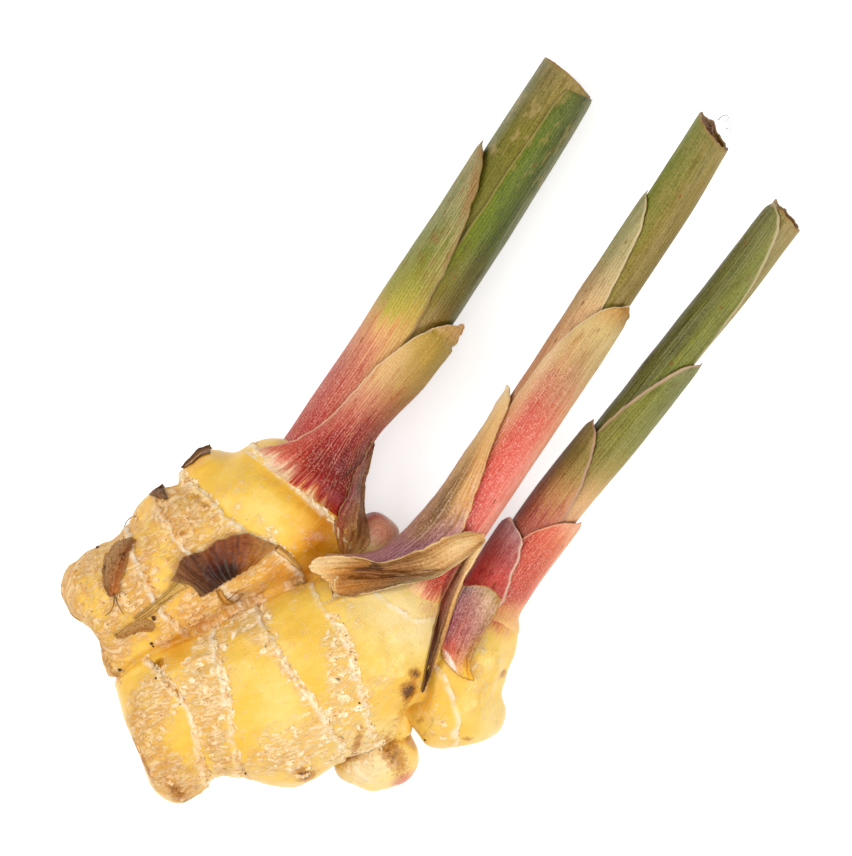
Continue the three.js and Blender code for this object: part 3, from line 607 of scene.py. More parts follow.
def leaf_paint(
    name, stripes, ribs, speckle=None, margin=None, rough=0.5, rim=False, blotches=None, comb=0.0, grain=0.5,
    wild=0.0, tints=("4a2c18", "f2dcae"), streaky=1.0, haze="323232",
):
    """Leaf tissue. stripes are (side, [(along, colour)...]) from -X to +X, blended from one to the next.
    ribs is (colour, amount), speckle and blotches (colour, amount, from, to) along, margin (colour, width).
    comb is how far the colours run down the ribs, grain how strong the fine light and dark grain is, wild how
    crooked the veins are, tints the colours of the dark and the pale places set on the piece, and streaky how
    far each colour runs into the next."""
    paint = Paint(name)
    rib, along, side = paint.attribute("rib"), paint.attribute("along"), paint.attribute("side")
    edge, shade = paint.attribute("edge"), paint.attribute("shade")
    where = paint.vector(rib, along)
    streak = paint.noise(where, (0.9, 16.0, 1.0), 3.0, 0.6)
    mottle = paint.noise(where, (2.6, 5.5, 1.0), 5.0, 0.62)
    fine = paint.noise(where, (0.5, 0.6, 1.0), 3.0, 0.7)
    crooked = paint.sway(mottle, 0.4 + wild, rib)
    wave = paint.math("COSINE", paint.math("MULTIPLY", crooked, 2 * math.pi))
    shifted = paint.sway(streak, 10.0 * streaky + 8.0 * comb, along)
    shifted = paint.sway(mottle, 7.0 * streaky, shifted)
    shifted = paint.math("MULTIPLY_ADD", wave, comb, shifted)
    across = paint.sway(streak, 0.5, side)
    colour = None
    for place, stops in stripes:
        band = paint.ramp(shifted, sorted(stops))
        if colour is None:
            colour = band
        else:
            colour = paint.mix(paint.step(across, before, place), colour, band)
        before = place
    uneven = paint.sway(mottle, 1.4, shade)
    uneven = paint.sway(streak, 1.2, uneven)
    colour = paint.mix(paint.step(uneven, 0.3, 0.9, 0.0, 0.9), colour, tints[0])
    colour = paint.mix(paint.step(uneven, -0.3, -0.9, 0.0, 0.9), colour, tints[1])
    tone = paint.math("ADD", paint.math("MULTIPLY", streak, 0.5), paint.math("MULTIPLY", mottle, 0.5))
    colour = paint.mix(paint.step(tone, 0.5, 0.36, 0.0, 0.4), colour, "3a2c18", "SOFT_LIGHT")
    colour = paint.mix(paint.step(tone, 0.52, 0.68, 0.0, 0.5), colour, "f0e6cc", "SOFT_LIGHT")
    crest = paint.math("MULTIPLY", paint.step(wave, 0.2, 1.0), paint.step(streak, 0.38, 0.62))
    colour = paint.mix(paint.math("MULTIPLY", crest, 0.7 * ribs[1]), colour, ribs[0])
    # The valleys between the ribs are darkened a little: painted shade in the grooves.
    valley = paint.math("MULTIPLY", paint.step(wave, 0.1, -1.0), 0.15 * min(1.0, 2 * ribs[1]))
    colour = paint.mix(valley, colour, "6a4a34", "MULTIPLY")
    colour = paint.mix(paint.step(fine, 0.5, 0.3, 0.0, grain), colour, "2a2016", "SOFT_LIGHT")
    colour = paint.mix(paint.step(fine, 0.5, 0.7, 0.0, grain), colour, "fbf4e6", "SOFT_LIGHT")
    height = paint.math("MULTIPLY", wave, 0.016)
    height = paint.math("MULTIPLY_ADD", paint.noise(where, (0.5, 0.6, 1.0), 0.0), 0.06, height)
    height = paint.math("MULTIPLY_ADD", paint.noise(where, (2.0, 5.0, 1.0), 1.0, 0.4), 0.12, height)
    if speckle:
        code, amount, low, high = speckle
        dots = paint.step(paint.cells(where, (0.5, 0.42, 1.0)), 0.5, 0.24)
        zone = paint.math(
            "MULTIPLY", paint.step(along, low - 4, low + 3), paint.step(along, high + 6, high - 6),
        )
        patchy = paint.step(paint.noise(where, (1.6, 2.6, 1.0), 4.0, 0.7), 0.36, 0.62, 0.15 * amount, amount)
        dots = paint.math("MULTIPLY", paint.math("MULTIPLY", dots, zone), patchy)
        colour = paint.mix(dots, colour, code)
        height = paint.math("MULTIPLY_ADD", dots, 0.015, height)
    if blotches:
        code, amount, low, high = blotches
        zone = paint.math(
            "MULTIPLY", paint.step(along, low - 3, low + 3), paint.step(along, high + 3, high - 3),
        )
        flaws = paint.step(paint.noise(where, (3.0, 6.0, 1.0), 6.0, 0.7), 0.52, 0.64, 0.0, amount)
        colour = paint.mix(paint.math("MULTIPLY", zone, flaws), colour, code)
    spots = paint.step(paint.cells(paint.vector(rib, along, 7.3), (4.6, 9.0, 1.0)), 0.1, 0.06, 0.0, 0.7)
    colour = paint.mix(spots, colour, "8a5228")
    if margin:
        code, width = margin
        near = paint.sway(fine, 0.6 * width, edge)
        colour = paint.mix(paint.step(near, width, 0.3 * width, 0.0, 0.75), colour, code)
        colour = paint.mix(paint.step(near, 0.2, 0.05, 0.0, 0.4), colour, "8c6444")
    if rim:
        cut = paint.sway(fine, 2.4, paint.attribute("from_cut"))
        colour = paint.mix(paint.step(cut, 1.1, 0.1, 0.0, 0.85), colour, "9c7a4c")
        # Down inside a cut end's hollow the colour turns brown and then near-black: painted shade, deeper the
        # further down.
        inside = paint.attribute("inside")
        colour = paint.mix(paint.step(inside, 0.1, 0.5, 0.0, 0.9), colour, "6a4626")
        colour = paint.mix(paint.step(inside, 0.5, 1.2), colour, "150c07")
    return paint.finish(colour, rough, height, haze, Specular_IOR_Level=0.35)


def core(name, node, rows, cut, slope, wall, depth, ragged, seed, material):
    """The rolled heart of a shoot: a ribbed tube with a sloping torn cut and more layers inside it."""
    line = shoot_line(rows)
    angle = np.linspace(-math.pi, math.pi, 120, endpoint=False)
    tilt = slope[0] * np.sin(angle) + slope[1] * np.cos(angle)
    circle = np.stack([np.cos(angle), np.sin(angle), np.zeros_like(angle)], -1)
    parts, values = [], {"rib": [], "along": [], "side": [], "edge": [], "from_cut": [], "inside": []}

    def tube(outer, inner, bottom, top, deep, dark):
        """One rolled layer: up its outside, over its torn edge and down its inside, to a floor at deep."""
        torn = top + tilt + ragged * (noise(circle * 2.2, 1.0, seed) + 0.6 * noise(circle * 7, 1.0, seed + 1))
        low = np.full_like(angle, bottom)
        rings = [low + (torn - low) * t for t in np.linspace(0, 1, max(4, int((top - bottom) / 1.0)))]
        radius = [outer] * len(rings)
        floor = np.full_like(angle, top - deep)
        rings += [torn, torn - 0.4, torn - 0.45 * deep, floor, floor]
        radius += [outer - 0.25 * (outer - inner), inner, inner * 0.96, inner * 0.9, 0.0]
        down = len(rings) - 5
        for i, (y, r) in enumerate(zip(rings, radius)):
            reach = np.where(r > 0, line[2](y) * r, 0.02)
            fibres = np.stack([circle[:, 0] * 2, circle[:, 1] * 2, y / 9], -1)
            grow = 0.035 * np.cos(angle * 44) + 0.12 * noise(fibres, 1.0, seed + 2)
            reach = reach + (grow if i <= down and r > 0 else 0)
            made.append(around_shoot(line, y, angle, reach, reach))
            values["rib"].append(angle * line[2](y) / 0.8)
            values["along"].append(y)
            values["side"].append(np.sin(angle))
            values["edge"].append(np.full_like(angle, 9.0))
            values["from_cut"].append(np.maximum(torn - y, 0) if i < down else np.zeros_like(angle))
            # Each ring further down the hollow counts as deeper inside, so the paint darkens there as painted
            # shade.
            values["inside"].append(np.full_like(angle, dark + (0 if i < down else 0.35 * (i - down))))
        parts.append((np.array(made[-len(rings):]), True))

    made = []
    # The inner layers start at 0.3, so they are painted darker: shade under the outer layer.
    tube(1.0, 1.0 - wall, rows[0][1], cut, depth, 0.0)
    tube(1.0 - 1.6 * wall, 1.0 - 2.4 * wall, cut - depth, cut - 0.5 - ragged, depth - 1.2, 0.3)
    tube(1.0 - 3.0 * wall, 1.0 - 3.8 * wall, cut - depth, cut - 1.1 - ragged, depth - 1.6, 0.3)
    numbers = {
        key: np.concatenate([np.broadcast_to(v, angle.shape) for v in layers])
        for key, layers in values.items()
    }
    return new_piece(name, parts, numbers, node, material)


core(
    "left_core", "left_shoot_core", LEFT_SHOOT, cut=92.0, slope=(-1, 0.4), wall=0.16, depth=5.0,
    ragged=0.35, seed=21,
    material=leaf_paint(
        "left_core_leaf",
        [
            (-0.95, [(60, "6f6f3c"), (75, "77764a"), (91, "7d7850")]),
            (-0.5, [(60, "7a763a"), (75, "80783a"), (91, "948456")]),
            (0.1, [(60, "80783a"), (75, "887e3a"), (91, "9a8852")]),
        ],
        ("a59a62", 0.25), rough=0.45, rim=True, blotches=("b39a66", 0.7, 66, 92),
    ),
)


# ---- The left shoot's sheaths ----
# Three leaf sheaths rolled round the core, each torn off at its own height. They are green where they were
# in the light, red where they were covered, and the outermost flares on to the rhizome with a white fringe.
def sheath(
    name, node, rows, layer, facing, reach, material,
    lean=((0, 0), (1, 0)), spread=((0, 0), (1, 0)), lift=((0, 0), (1, 0)), right=((0, 0), (1, 0)),
    rib=0.8, tear=0.25, curl=0.0, crumple=0.0, crimp=0.0, hug=None, bury=1.0,
    foot=0.4, skirt=(0, 90, 35), seed=1, creases=(), shades=(),
):
    """One leaf sheath round a shoot, up to half an angle either side of where it faces, in its layer.
    tear is how ragged its margin is, curl how far its tip turns, crumple how creased it is, hug the y below
    which it lies on the rhizome, foot how ragged it grows out of it there, and skirt how much lower its foot
    hangs at one angle, and how wide that is.
    creases are folds across it (y, depth, width), and shades its dark and pale places, seen from above."""
    line = shoot_line(rows)
    top, bottom = reach[0][0] + 0.5, reach[-1][0]
    count = int((top - bottom) / 0.95) + 8
    level = top - (top - bottom) * np.linspace(0, 1, count) ** 1.25
    half_of = rounded([(y, half) for y, half in reach], 1.2)
    closing = np.sqrt(np.clip((top - level) / 2.2, 0.002, 1))
    half = np.radians(half_of(level)) * closing
    widest = half.max()
    radius = line[2](level) + layer * LAYER
    columns = int(2 * widest * radius.mean() / 0.3)
    s = np.linspace(-1, 1, columns)
    fray = np.stack([level / 2.2, np.zeros(count), np.zeros(count)], -1)
    torn = [
        tear * (noise(fray + (0, shift, 0), 1.0, seed) + 0.5 * noise(fray * 3 + shift, 1.0, seed))
        for shift in (3, 9)
    ]
    ring = radius[:, None]
    off = half[:, None] * s
    pulled = np.where(s < 0, -torn[0][:, None], torn[1][:, None]) / ring * closing[:, None]
    off = off + pulled * soft_step(np.abs(s), 0.86, 1)
    low, high = off[:, 0], off[:, -1]
    hang, at, about = skirt
    share = ((top - level) / (top - bottom))[:, None] ** 6
    y = level[:, None] - hang * share * np.exp(-(((np.degrees(off) + facing - at) / about) ** 2))
    edge = np.minimum((high[:, None] - off), (off - low[:, None])) * ring
    edge = np.minimum(edge, (top - y) * 0.8)
    rib_number = np.sign(off) * np.abs(s[None, :]) * (half[:, None] ** 0.7) * widest**0.3 * ring.mean() / rib
    angle = math.radians(facing) + off
    place = np.stack([np.cos(angle) * 4, np.sin(angle) * 4, y / 7], -1)
    push = rounded(lean, 2.0)(y) * np.cos(off / 2) ** 4
    push = push - TIGHT * np.exp(-edge / 1.1) + 0.03 * np.cos(2 * math.pi * rib_number)
    push = push + 0.16 * noise(place, 1.0, seed + 3)
    push = push + crumple * noise(np.stack([rib_number / 3, y / 9, y * 0], -1), 1.0, seed + 4)
    crimps = noise(np.stack([off * 5, y / 1.3, y * 0], -1), 1.0, seed + 5)
    push = push + crimp * soft_step(y, top - 5, top - 2) * crimps
    push = push + curl * np.exp(-(((top - y) / 3.0) ** 2))
    for crease, depth, width in creases:
        wander = 0.8 * noise(crease + off[..., None] * (4, 0, 0), 1.0, 5)
        push = push - depth * np.exp(-(((y + wander - crease) / width) ** 2))
    wide = ring + push + rounded(spread, 2.0)(y)
    wide = wide + rounded(right, 2.0)(y) * soft_step(np.sin(angle), 0.2, 0.9)
    tall = ring + push + rounded(lift, 2.0)(y)
    outer = around_shoot(line, y, angle, wide, tall)
    if hug is not None:
        outer = laid_on_rhizome(outer, line, y, angle, hug, bury, foot, bottom)
    thick = SHEATH * np.clip(0.3 + edge / 2.0, 0.3, 1)
    heart = np.stack([line[0](y), y, line[1](y)], -1)
    inward = heart - outer
    inward = inward / np.linalg.norm(inward, axis=-1, keepdims=True)
    inner = outer + inward * thick[..., None]
    shade = patches(outer.reshape(-1, 3), shades).reshape(y.shape)
    values = {"rib": rib_number, "along": y, "side": np.sin(angle), "edge": edge, "shade": shade}
    return new_shell(name, outer, inner, values, node, material)


def laid_on_rhizome(outer, line, y, angle, hug, bury, foot, low):
    """Lifts a sheath's foot so that it lies on the rhizome below y = hug, and grows out of it at y = low."""
    heart = np.stack([line[0](y), y, line[1](y)], -1)
    ways = outer - heart
    far = np.linalg.norm(ways, axis=-1)
    ways = ways / far[..., None]
    laid = far.copy()
    for i, j in zip(*np.nonzero(y < hug)):
        out = Vector(ways[i, j])
        hit = ground.ray_cast(Vector(heart[i, j]) + out * 40, -out, 40)
        if hit[0] is not None and 40 - hit[3] < far[i, j] + 4:
            laid[i, j] = 40 - hit[3]
    resting = np.maximum(far, laid + 0.3)
    sunk = np.minimum(far, laid - 0.4)
    comb = np.stack([angle * 9, angle * 0, angle * 0], -1)
    rooted = bury * soft_step(low + 5 + foot * noise(comb, 1.0, 7) - y, 0, 4.5)
    share = soft_step(hug - y, 0, 4)
    reach = far + share * (resting - far)
    return heart + ways * (reach + rooted * (sunk - reach))[..., None]


sheath(
    "left_inner_leaf", "left_shoot_inner_sheath", LEFT_SHOOT, layer=1, facing=112,
    reach=[(90.6, 100), (84, 108), (50, 116), (-8, 122)],
    material=leaf_paint(
        "left_inner_green",
        [
            (-0.15, [(30, "7c7a30"), (50, "7c8430"), (75, "66722c"), (91, "767648")]),
            (0.25, [(22, "ac8a50"), (32, "847434"), (50, "6f7a28"), (75, "66752f"), (91, "6f7440")]),
            (0.75, [(22, "a07c48"), (32, "6c5c2c"), (50, "545c2c"), (75, "5a6134"), (91, "646a42")]),
            (1.0, [(30, "6a6a48"), (50, "73754e"), (75, "7f8058"), (91, "86845c")]),
        ],
        ("9aa05c", 0.3), margin=("a8965c", 0.6), rough=0.42, blotches=("a89058", 0.5, 64, 90),
    ),
    seed=31,
)
sheath(
    "left_middle_leaf", "left_shoot_middle_sheath", LEFT_SHOOT, layer=2, facing=-80,
    reach=[(68, 6), (66.6, 24), (64, 38), (58, 54), (50, 68), (38, 83), (10, 98), (-17, 112)],
    material=leaf_paint(
        "left_middle_green_to_pink",
        [
            (-0.95, [
                (-17, "ac4440"), (-6, "b85450"), (6, "bc6a5c"), (14, "cf8a6c"), (20, "d4a468"),
                (26, "a09a48"), (38, "868a4c"), (50, "8c9060"), (66, "a2966a"),
            ]),
            (-0.5, [
                (-17, "b8403c"), (-6, "c04c48"), (6, "cc7460"), (14, "e49a74"), (19, "f0b878"),
                (24, "c4b24e"), (30, "a89f46"), (38, "90924a"), (50, "9c9a66"), (66, "ac9868"),
            ]),
            (0.0, [
                (-17, "b84a3c"), (0, "c0664c"), (8, "cf8a58"), (18, "dcae6c"), (25, "c4a650"), (32, "a0944c"),
                (42, "a4965e"), (55, "bcaa7e"), (66, "b89c6c"),
            ]),
        ],
        ("ecc890", 0.4), speckle=("f0b8a4", 0.6, -20, 14), margin=("a08458", 1.0),
        blotches=("8a5c34", 0.65, 34, 66), comb=0.8, tints=("a07c50", "f2dcae"),
    ),
    lean=[(60, 0), (68, 0.2)], seed=32, crumple=0.1, tear=0.6,
    shades=[
        (-22.6, 54, 1.2, 7, 10, 0.8), (-24, 42.6, 1.3, 1.3, 0, 0.8), (-21.6, 37.6, 0.8, 2, 0, 0.6),
        (-26.4, 66, 1.4, 1.6, 0, 0.8), (-25, 61, 1, 4, 22, 0.6),
    ],
)
left_outer_leaf = sheath(
    "left_outer_leaf", "left_shoot_outer_sheath", LEFT_SHOOT, layer=3, facing=80,
    reach=[
        (29.5, 14), (28.2, 30), (25.6, 50), (24, 54), (20.6, 65), (15, 77), (10, 85), (3, 90), (-4, 95),
        (-10, 104), (-14, 110), (-18, 119), (-21.5, 134), (-23.6, 142),
    ],
    material=leaf_paint(
        "left_outer_tan_to_crimson",
        [
            (-0.5, [
                (-25, "f3d9a8"), (-22.5, "f4d4b0"), (-19.5, "d87058"), (-15, "c4524a"), (-8, "cc7060"),
                (0, "dda286"), (8, "e4b486"), (16, "e8c088"), (25, "d8ac70"), (29, "dcb078"),
            ]),
            (0.1, [
                (-27, "f0c478"), (-24.2, "f6d8a8"), (-22.6, "e08c58"), (-21.2, "a82c22"), (-15, "801c1c"),
                (-9, "a43a36"), (-3, "c0604e"), (3, "d08c6a"), (9, "dcae78"), (16, "e2ba7c"), (22, "c8a256"),
                (25.5, "b49a54"), (27, "dcb47c"), (29, "e8c490"),
            ]),
            (0.6, [
                (-29, "d89a4c"), (-26, "b04830"), (-22, "902420"), (-14, "781e20"), (-8, "8c302c"),
                (-2, "9c4436"), (4, "b87450"), (12, "c09a56"), (20, "bc9844"), (24, "ac9244"), (27, "d0a66c"),
                (29, "dcb480"),
            ]),
            (0.95, [
                (-31, "b88a4c"), (-20, "7c4e2c"), (-12, "6f4030"), (-5, "864238"), (2, "9c5c40"),
                (12, "a88848"), (22, "a08c44"), (28, "c89c60"),
            ]),
        ],
        ("f0cc9c", 0.32), speckle=("f0b0a0", 0.5, -19, 4), margin=("ecd0a8", 0.45),
        blotches=("6f4a34", 0.35, 24, 30), comb=0.7, streaky=0.6,
    ),
    lean=[(0, 0), (5, 0), (15, 0.8), (24, 1.5), (29.5, 0.8)],
    spread=[(-24.5, 9.6), (-20, 6.4), (-16, 3.6), (-8, 0.3), (-2, 0)],
    lift=[(-24.5, 4.6), (-20, 3), (-16, 1.7), (-8, 0.3), (-2, 0)],
    right=[(-22, 0), (-15, -1), (-8, -1.2), (-2, -1.2), (5, -0.5), (12, 0)],
    rib=0.72, tear=0.4, crumple=0.14, crimp=0.7, hug=-12, bury=0.7, foot=1.6, skirt=(6, 100, 34), seed=33,
    creases=[(24.6, 0.7, 0.5), (27.2, 0.35, 0.5)],
    # The dark streaks at these places are painted shade of a fold in the sheath that is not modelled.
    shades=[
        (-11, -16, 0.7, 7, -14, 0.5), (-7.4, -18, 0.9, 6, -24, 0.6), (-9.5, -8, 0.5, 6, -8, 0.4),
        (-6, -12, 0.6, 5, -20, 0.5),
    ],
)

# ---- The middle shoot ----
# The tallest shoot rises from the thickest finger. Its core and inner sheath are olive, a pink sheath wraps
# them half way up, and a dead outer leaf has split into a long husk at its left.
CORE_FOOT = [  # where a core leaves the rhizome, under its sheaths
    (-20, "e8b888"), (-6, "cc6a5c"), (12, "b8604c"),
]
MIDDLE_SHOOT = [
    (17.4, -26, 19.4, 4.8), (17.6, -8, 19.8, 5.1), (17.5, 10, 20.6, 5.1), (17.1, 32, 21.8, 5.4),
    (16.9, 55, 23, 5.5), (16.7, 80, 24.6, 5.5), (15.7, 100, 26, 5.1),
]
core(
    "middle_core", "middle_shoot_core", MIDDLE_SHOOT, cut=99.3, slope=(-1.9, -1.5), wall=0.14,
    depth=9.0, ragged=0.6, seed=41,
    material=leaf_paint(
        "middle_core_leaf",
        [
            (-0.95, [*CORE_FOOT, (30, "8a7f3a"), (45, "8a7f3a"), (70, "7f8436"), (99, "7f8446")]),
            (-0.45, [*CORE_FOOT, (30, "8a7c36"), (45, "8a7c36"), (70, "88833a"), (99, "858246")]),
            (0.2, [*CORE_FOOT, (30, "8c7a3a"), (45, "8c7a3a"), (70, "8a783a"), (99, "847a40")]),
            (0.85, [*CORE_FOOT, (30, "9c8450"), (45, "9c8450"), (70, "94824e"), (99, "a8945a")]),
        ],
        ("b3a468", 0.25), speckle=("c0b078", 0.3, 50, 99), rough=0.48, rim=True,
        blotches=("a58a54", 0.4, 60, 99),
    ),
)
sheath(
    "middle_inner_leaf", "middle_shoot_inner_sheath", MIDDLE_SHOOT, layer=1, facing=-85,
    reach=[(79, 8), (77.8, 27), (75.4, 45), (70, 65), (62, 76), (51, 90), (-8, 118)],
    material=leaf_paint(
        "middle_inner_olive_to_salmon",
        [
            (-0.95, [(10, "cc8c74"), (35, "d49872"), (50, "c8a276"), (62, "a49a6c"), (77, "9c9a6e")]),
            (-0.4, [(10, "d8947a"), (35, "e0a47c"), (50, "d8b07c"), (62, "b8a878"), (77, "b4aa74")]),
        ],
        ("d8c090", 0.4), speckle=("e0c8a0", 0.25, 10, 60), margin=("dcc69c", 0.8),
        blotches=("6f5a34", 0.4, 40, 60),
    ),
    seed=42, crumple=0.06,
)
sheath(
    "middle_pink_leaf", "middle_shoot_pink_sheath", MIDDLE_SHOOT, layer=2, facing=45,
    reach=[
        (54.2, 8), (52.4, 26), (50, 43), (45, 62), (40, 76), (32, 90), (10, 104), (-20, 140), (-31, 160),
    ],
    material=leaf_paint(
        "middle_pink_leaf",
        [
            (-0.7, [
                (-33, "f6d68c"), (-27.5, "f4c884"), (-24.5, "e48c68"), (-20.5, "cc5448"), (-12, "c44c42"),
                (0, "d06a56"), (12, "dc9068"), (24, "e8b886"), (36, "ecc898"), (46, "e0c48c"), (54, "c8a060"),
            ]),
            (-0.1, [
                (-33, "f6d68c"), (-27.5, "f4cc90"), (-25.2, "f0a880"), (-22.6, "dc6c54"), (-16, "cc4a40"),
                (-4, "d04e44"), (10, "dc5c4c"), (22, "cc5e4c"), (29, "c47a58"), (36, "c89a64"),
                (46, "d4b67c"), (54, "c4924e"),
            ]),
            (0.5, [
                (-33, "f6d68c"), (-28.4, "f2b078"), (-27, "d87058"), (-24.5, "c04c3c"), (-16, "d4544a"),
                (-4, "e06a5a"), (10, "e46c5c"), (20, "d8664e"), (28, "c07850"), (36, "b48c58"),
                (46, "d4b87a"), (52, "c89850"), (54, "a87840"),
            ]),
            (0.95, [
                (-33, "f6d68c"), (-28, "f0b478"), (-24, "d8644c"), (-10, "ec9680"), (10, "f6a892"),
                (22, "f0a680"), (36, "dcbe88"), (47, "e0c890"), (54, "a07038"),
            ]),
        ],
        ("f2c8a4", 0.22), speckle=("f8c8b8", 0.62, -27, 38), margin=("efd8b0", 0.45), rough=0.45,
        blotches=("8a5a30", 0.5, 50, 55), comb=0.7,
    ),
    spread=[(-31, 1.2), (-20, 0.3), (-12, 0)],
    lift=[(-31, 5.2), (-26, 3.6), (-20, 1.2), (-12, 0)],
    crumple=0.07, curl=0.4, crimp=0.4, hug=-14, seed=43,
)

# ---- The dead leaf ends at the shoots' feet ----
# What is left of outer leaves, paper-thin, veined and brittle: on the middle shoot a broad brown husk, curled
# over and split off to the left, and a narrow shred down its right; on the left shoot a fold down its side.
DRY_LEAF = 0.28  # thickness of a dead leaf


def loft(net, u, v):
    """Points of a smooth sheet through a net of points, at shares u along its rows and v across them."""
    counts = net.shape[:2]
    for axis in (0, 1):
        net = np.moveaxis(net, axis, 0)
        before = [3 * net[0] - 2 * net[1], 2 * net[0] - net[1]]
        after = [2 * net[-1] - net[-2], 3 * net[-1] - 2 * net[-2]]
        net = np.moveaxis(np.concatenate([before, net, after]), 0, axis)
    places, weights = [], []
    for share, count in zip((u, v), counts):
        place = share * (count - 1) + 2
        cell = np.clip(place.astype(int), 1, count + 1)
        f = (place - cell)[..., None]
        places.append(cell)
        weights.append([
            -0.5 * f + f**2 - 0.5 * f**3, 1 - 2.5 * f**2 + 1.5 * f**3, 0.5 * f + 2 * f**2 - 1.5 * f**3,
            0.5 * (f**3 - f**2),
        ])
    total = 0
    for i, j in np.ndindex(4, 4):
        total = total + weights[0][i] * weights[1][j] * net[places[0] + i - 1, places[1] + j - 1]
    return total


def dry_leaf(
    name, node, net, material, rest=None, laid=False, teeth=0.4, torn=(0.4, 0.4), ripple=0.2, lip=0.2,
    pleats=None, pleat=0.05, shades=(), seed=1, size=(110, 44), on=(ground,),
):
    """A dried leaf or scale stretched over a net: lines across it from one end to the other, each a few
    points (x, y, z) from margin to margin. It stays rest above what it lies on, or with laid lies z above it.
    teeth and torn are how ragged its margins and its ends are, and lip how far its margins turn up."""
    net = np.array(net, float)
    u, v = np.meshgrid(np.linspace(0, 1, size[0]), np.linspace(0, 1, size[1]), indexing="ij")
    length = np.linalg.norm(np.diff(net, axis=0), axis=2).sum(0).mean()
    width = np.linalg.norm(np.diff(net, axis=1), axis=2).sum(1)
    width_here = np.interp(u, np.linspace(0, 1, len(net)), width)
    width = width.mean()

    def jag(way, row):
        """A ragged line: lumps, teeth and fine teeth along it."""
        line = np.stack([way / 2.6, np.full_like(way, row), way * 0], -1)
        big_teeth = 0.6 * noise(line * (2.7, 1, 1), 1.0, seed)
        return noise(line, 1.0, seed) + big_teeth + 0.4 * noise(line * (7, 1, 1), 1.0, seed)

    margins = [teeth * jag(u * length, row) / np.maximum(width_here, 1.2) for row in (3.3, 5.7)]
    ends = [amount * jag(v * width, row) / length for amount, row in zip(torn, (8.1, 9.9))]
    across = -margins[0] + v * (1 + margins[0] + margins[1])
    down = -ends[0] + u * (1 + ends[0] + ends[1])
    outer = loft(net, down, across)
    edge = np.minimum(np.minimum(v, 1 - v) * width_here, np.minimum(u, 1 - u) * length)
    if laid or rest is not None:
        below = np.full(edge.shape, np.nan)
        for i, j in np.ndindex(edge.shape):
            heights = [height_at(surface, *outer[i, j, :2]) for surface in on]
            below[i, j] = max((height for height in heights if height is not None), default=np.nan)
        below = np.where(np.isnan(below), np.nanmin(below), below)
        for _ in range(8):
            inner = below[:-2, 1:-1] + below[2:, 1:-1] + below[1:-1, :-2] + below[1:-1, 2:]
            below[1:-1, 1:-1] = (below[1:-1, 1:-1] * 2 + inner) / 6
        lifted = below + outer[..., 2] if laid else np.maximum(outer[..., 2], below + rest)
        outer = np.concatenate([outer[..., :2], lifted[..., None]], -1)
    facing = np.cross(np.gradient(outer, axis=1), np.gradient(outer, axis=0))
    facing = facing / np.maximum(np.linalg.norm(facing, axis=-1, keepdims=True), 1e-9)
    facing = facing if facing[..., 2].mean() > 0 else -facing
    ribs = across * (pleats or width / 0.8)
    cloth = np.stack([across * width / 1.7, down * length / 5, u * 0], -1)
    tall = ripple * (noise(cloth, 1.0, seed + 2) + 0.5 * noise(cloth * 2.3, 1.0, seed + 3))
    tall = tall + pleat * np.cos(2 * math.pi * ribs) + lip * np.exp(-edge / 0.7)
    outer = outer + facing * tall[..., None]
    thin = DRY_LEAF * np.clip(0.35 + edge / 1.5, 0.35, 1)
    shade = patches(outer.reshape(-1, 3), shades).reshape(edge.shape)
    values = {"rib": ribs, "along": down * length, "side": across * 2 - 1, "edge": edge, "shade": shade}
    return new_shell(name, outer, outer - facing * thin[..., None], values, node, material)


LONG_HUSK = [  # from its tip down the shoot's left to the left finger, each line from the back to the front
    [(8.9, 23.4, 20.4), (8.9, 23.6, 21.2), (9.2, 23.7, 22), (9.7, 23.5, 22.8), (10.3, 23, 23.4)],
    [(10.4, 20, 16.8), (9.3, 20, 20), (9.6, 20, 22.8), (10.6, 20, 24.8), (11.9, 20, 26.2)],
    [(10.6, 12, 16.2), (9.6, 12, 20), (10, 12, 23.2), (11.4, 12, 25.8), (13.4, 12, 27.4)],
    [(10.6, 4, 15.2), (9.6, 4, 19), (10.2, 4, 23.2), (12.4, 4, 26.6), (15.6, 4, 28.2)],
    [(10.6, -4, 14.4), (9.6, -4, 18.4), (10.3, -4, 23.2), (13.2, -4, 26.8), (17.8, -4, 28.2)],
    [(10.2, -10, 13.4), (9.2, -10, 18), (10.2, -10, 23.2), (13.6, -10, 27), (19.2, -10, 28)],
    [(9.2, -17, 13.4), (8.2, -17, 18), (9.6, -16.6, 23.6), (13, -16, 27.2), (18, -15.6, 28.4)],
    [(8, -22, 14.6), (7.1, -21.6, 19), (8.2, -21.4, 24.6), (11.4, -21, 28.4), (15.4, -20.4, 29.8)],
    [(6.6, -26, 18), (5.6, -25, 22.4), (6.6, -25.4, 27), (9.2, -25.6, 30.4), (12.6, -25.4, 31.6)],
    [(2.2, -29.6, 22), (2, -28.4, 25.4), (3.2, -29, 28.6), (5.6, -29.6, 30.8), (8.6, -30, 32)],
    [(-3.8, -33.6, 25), (-4, -32.4, 27), (-2.8, -33.2, 28.8), (-0.8, -34.2, 30), (2, -35.4, 30.6)],
]
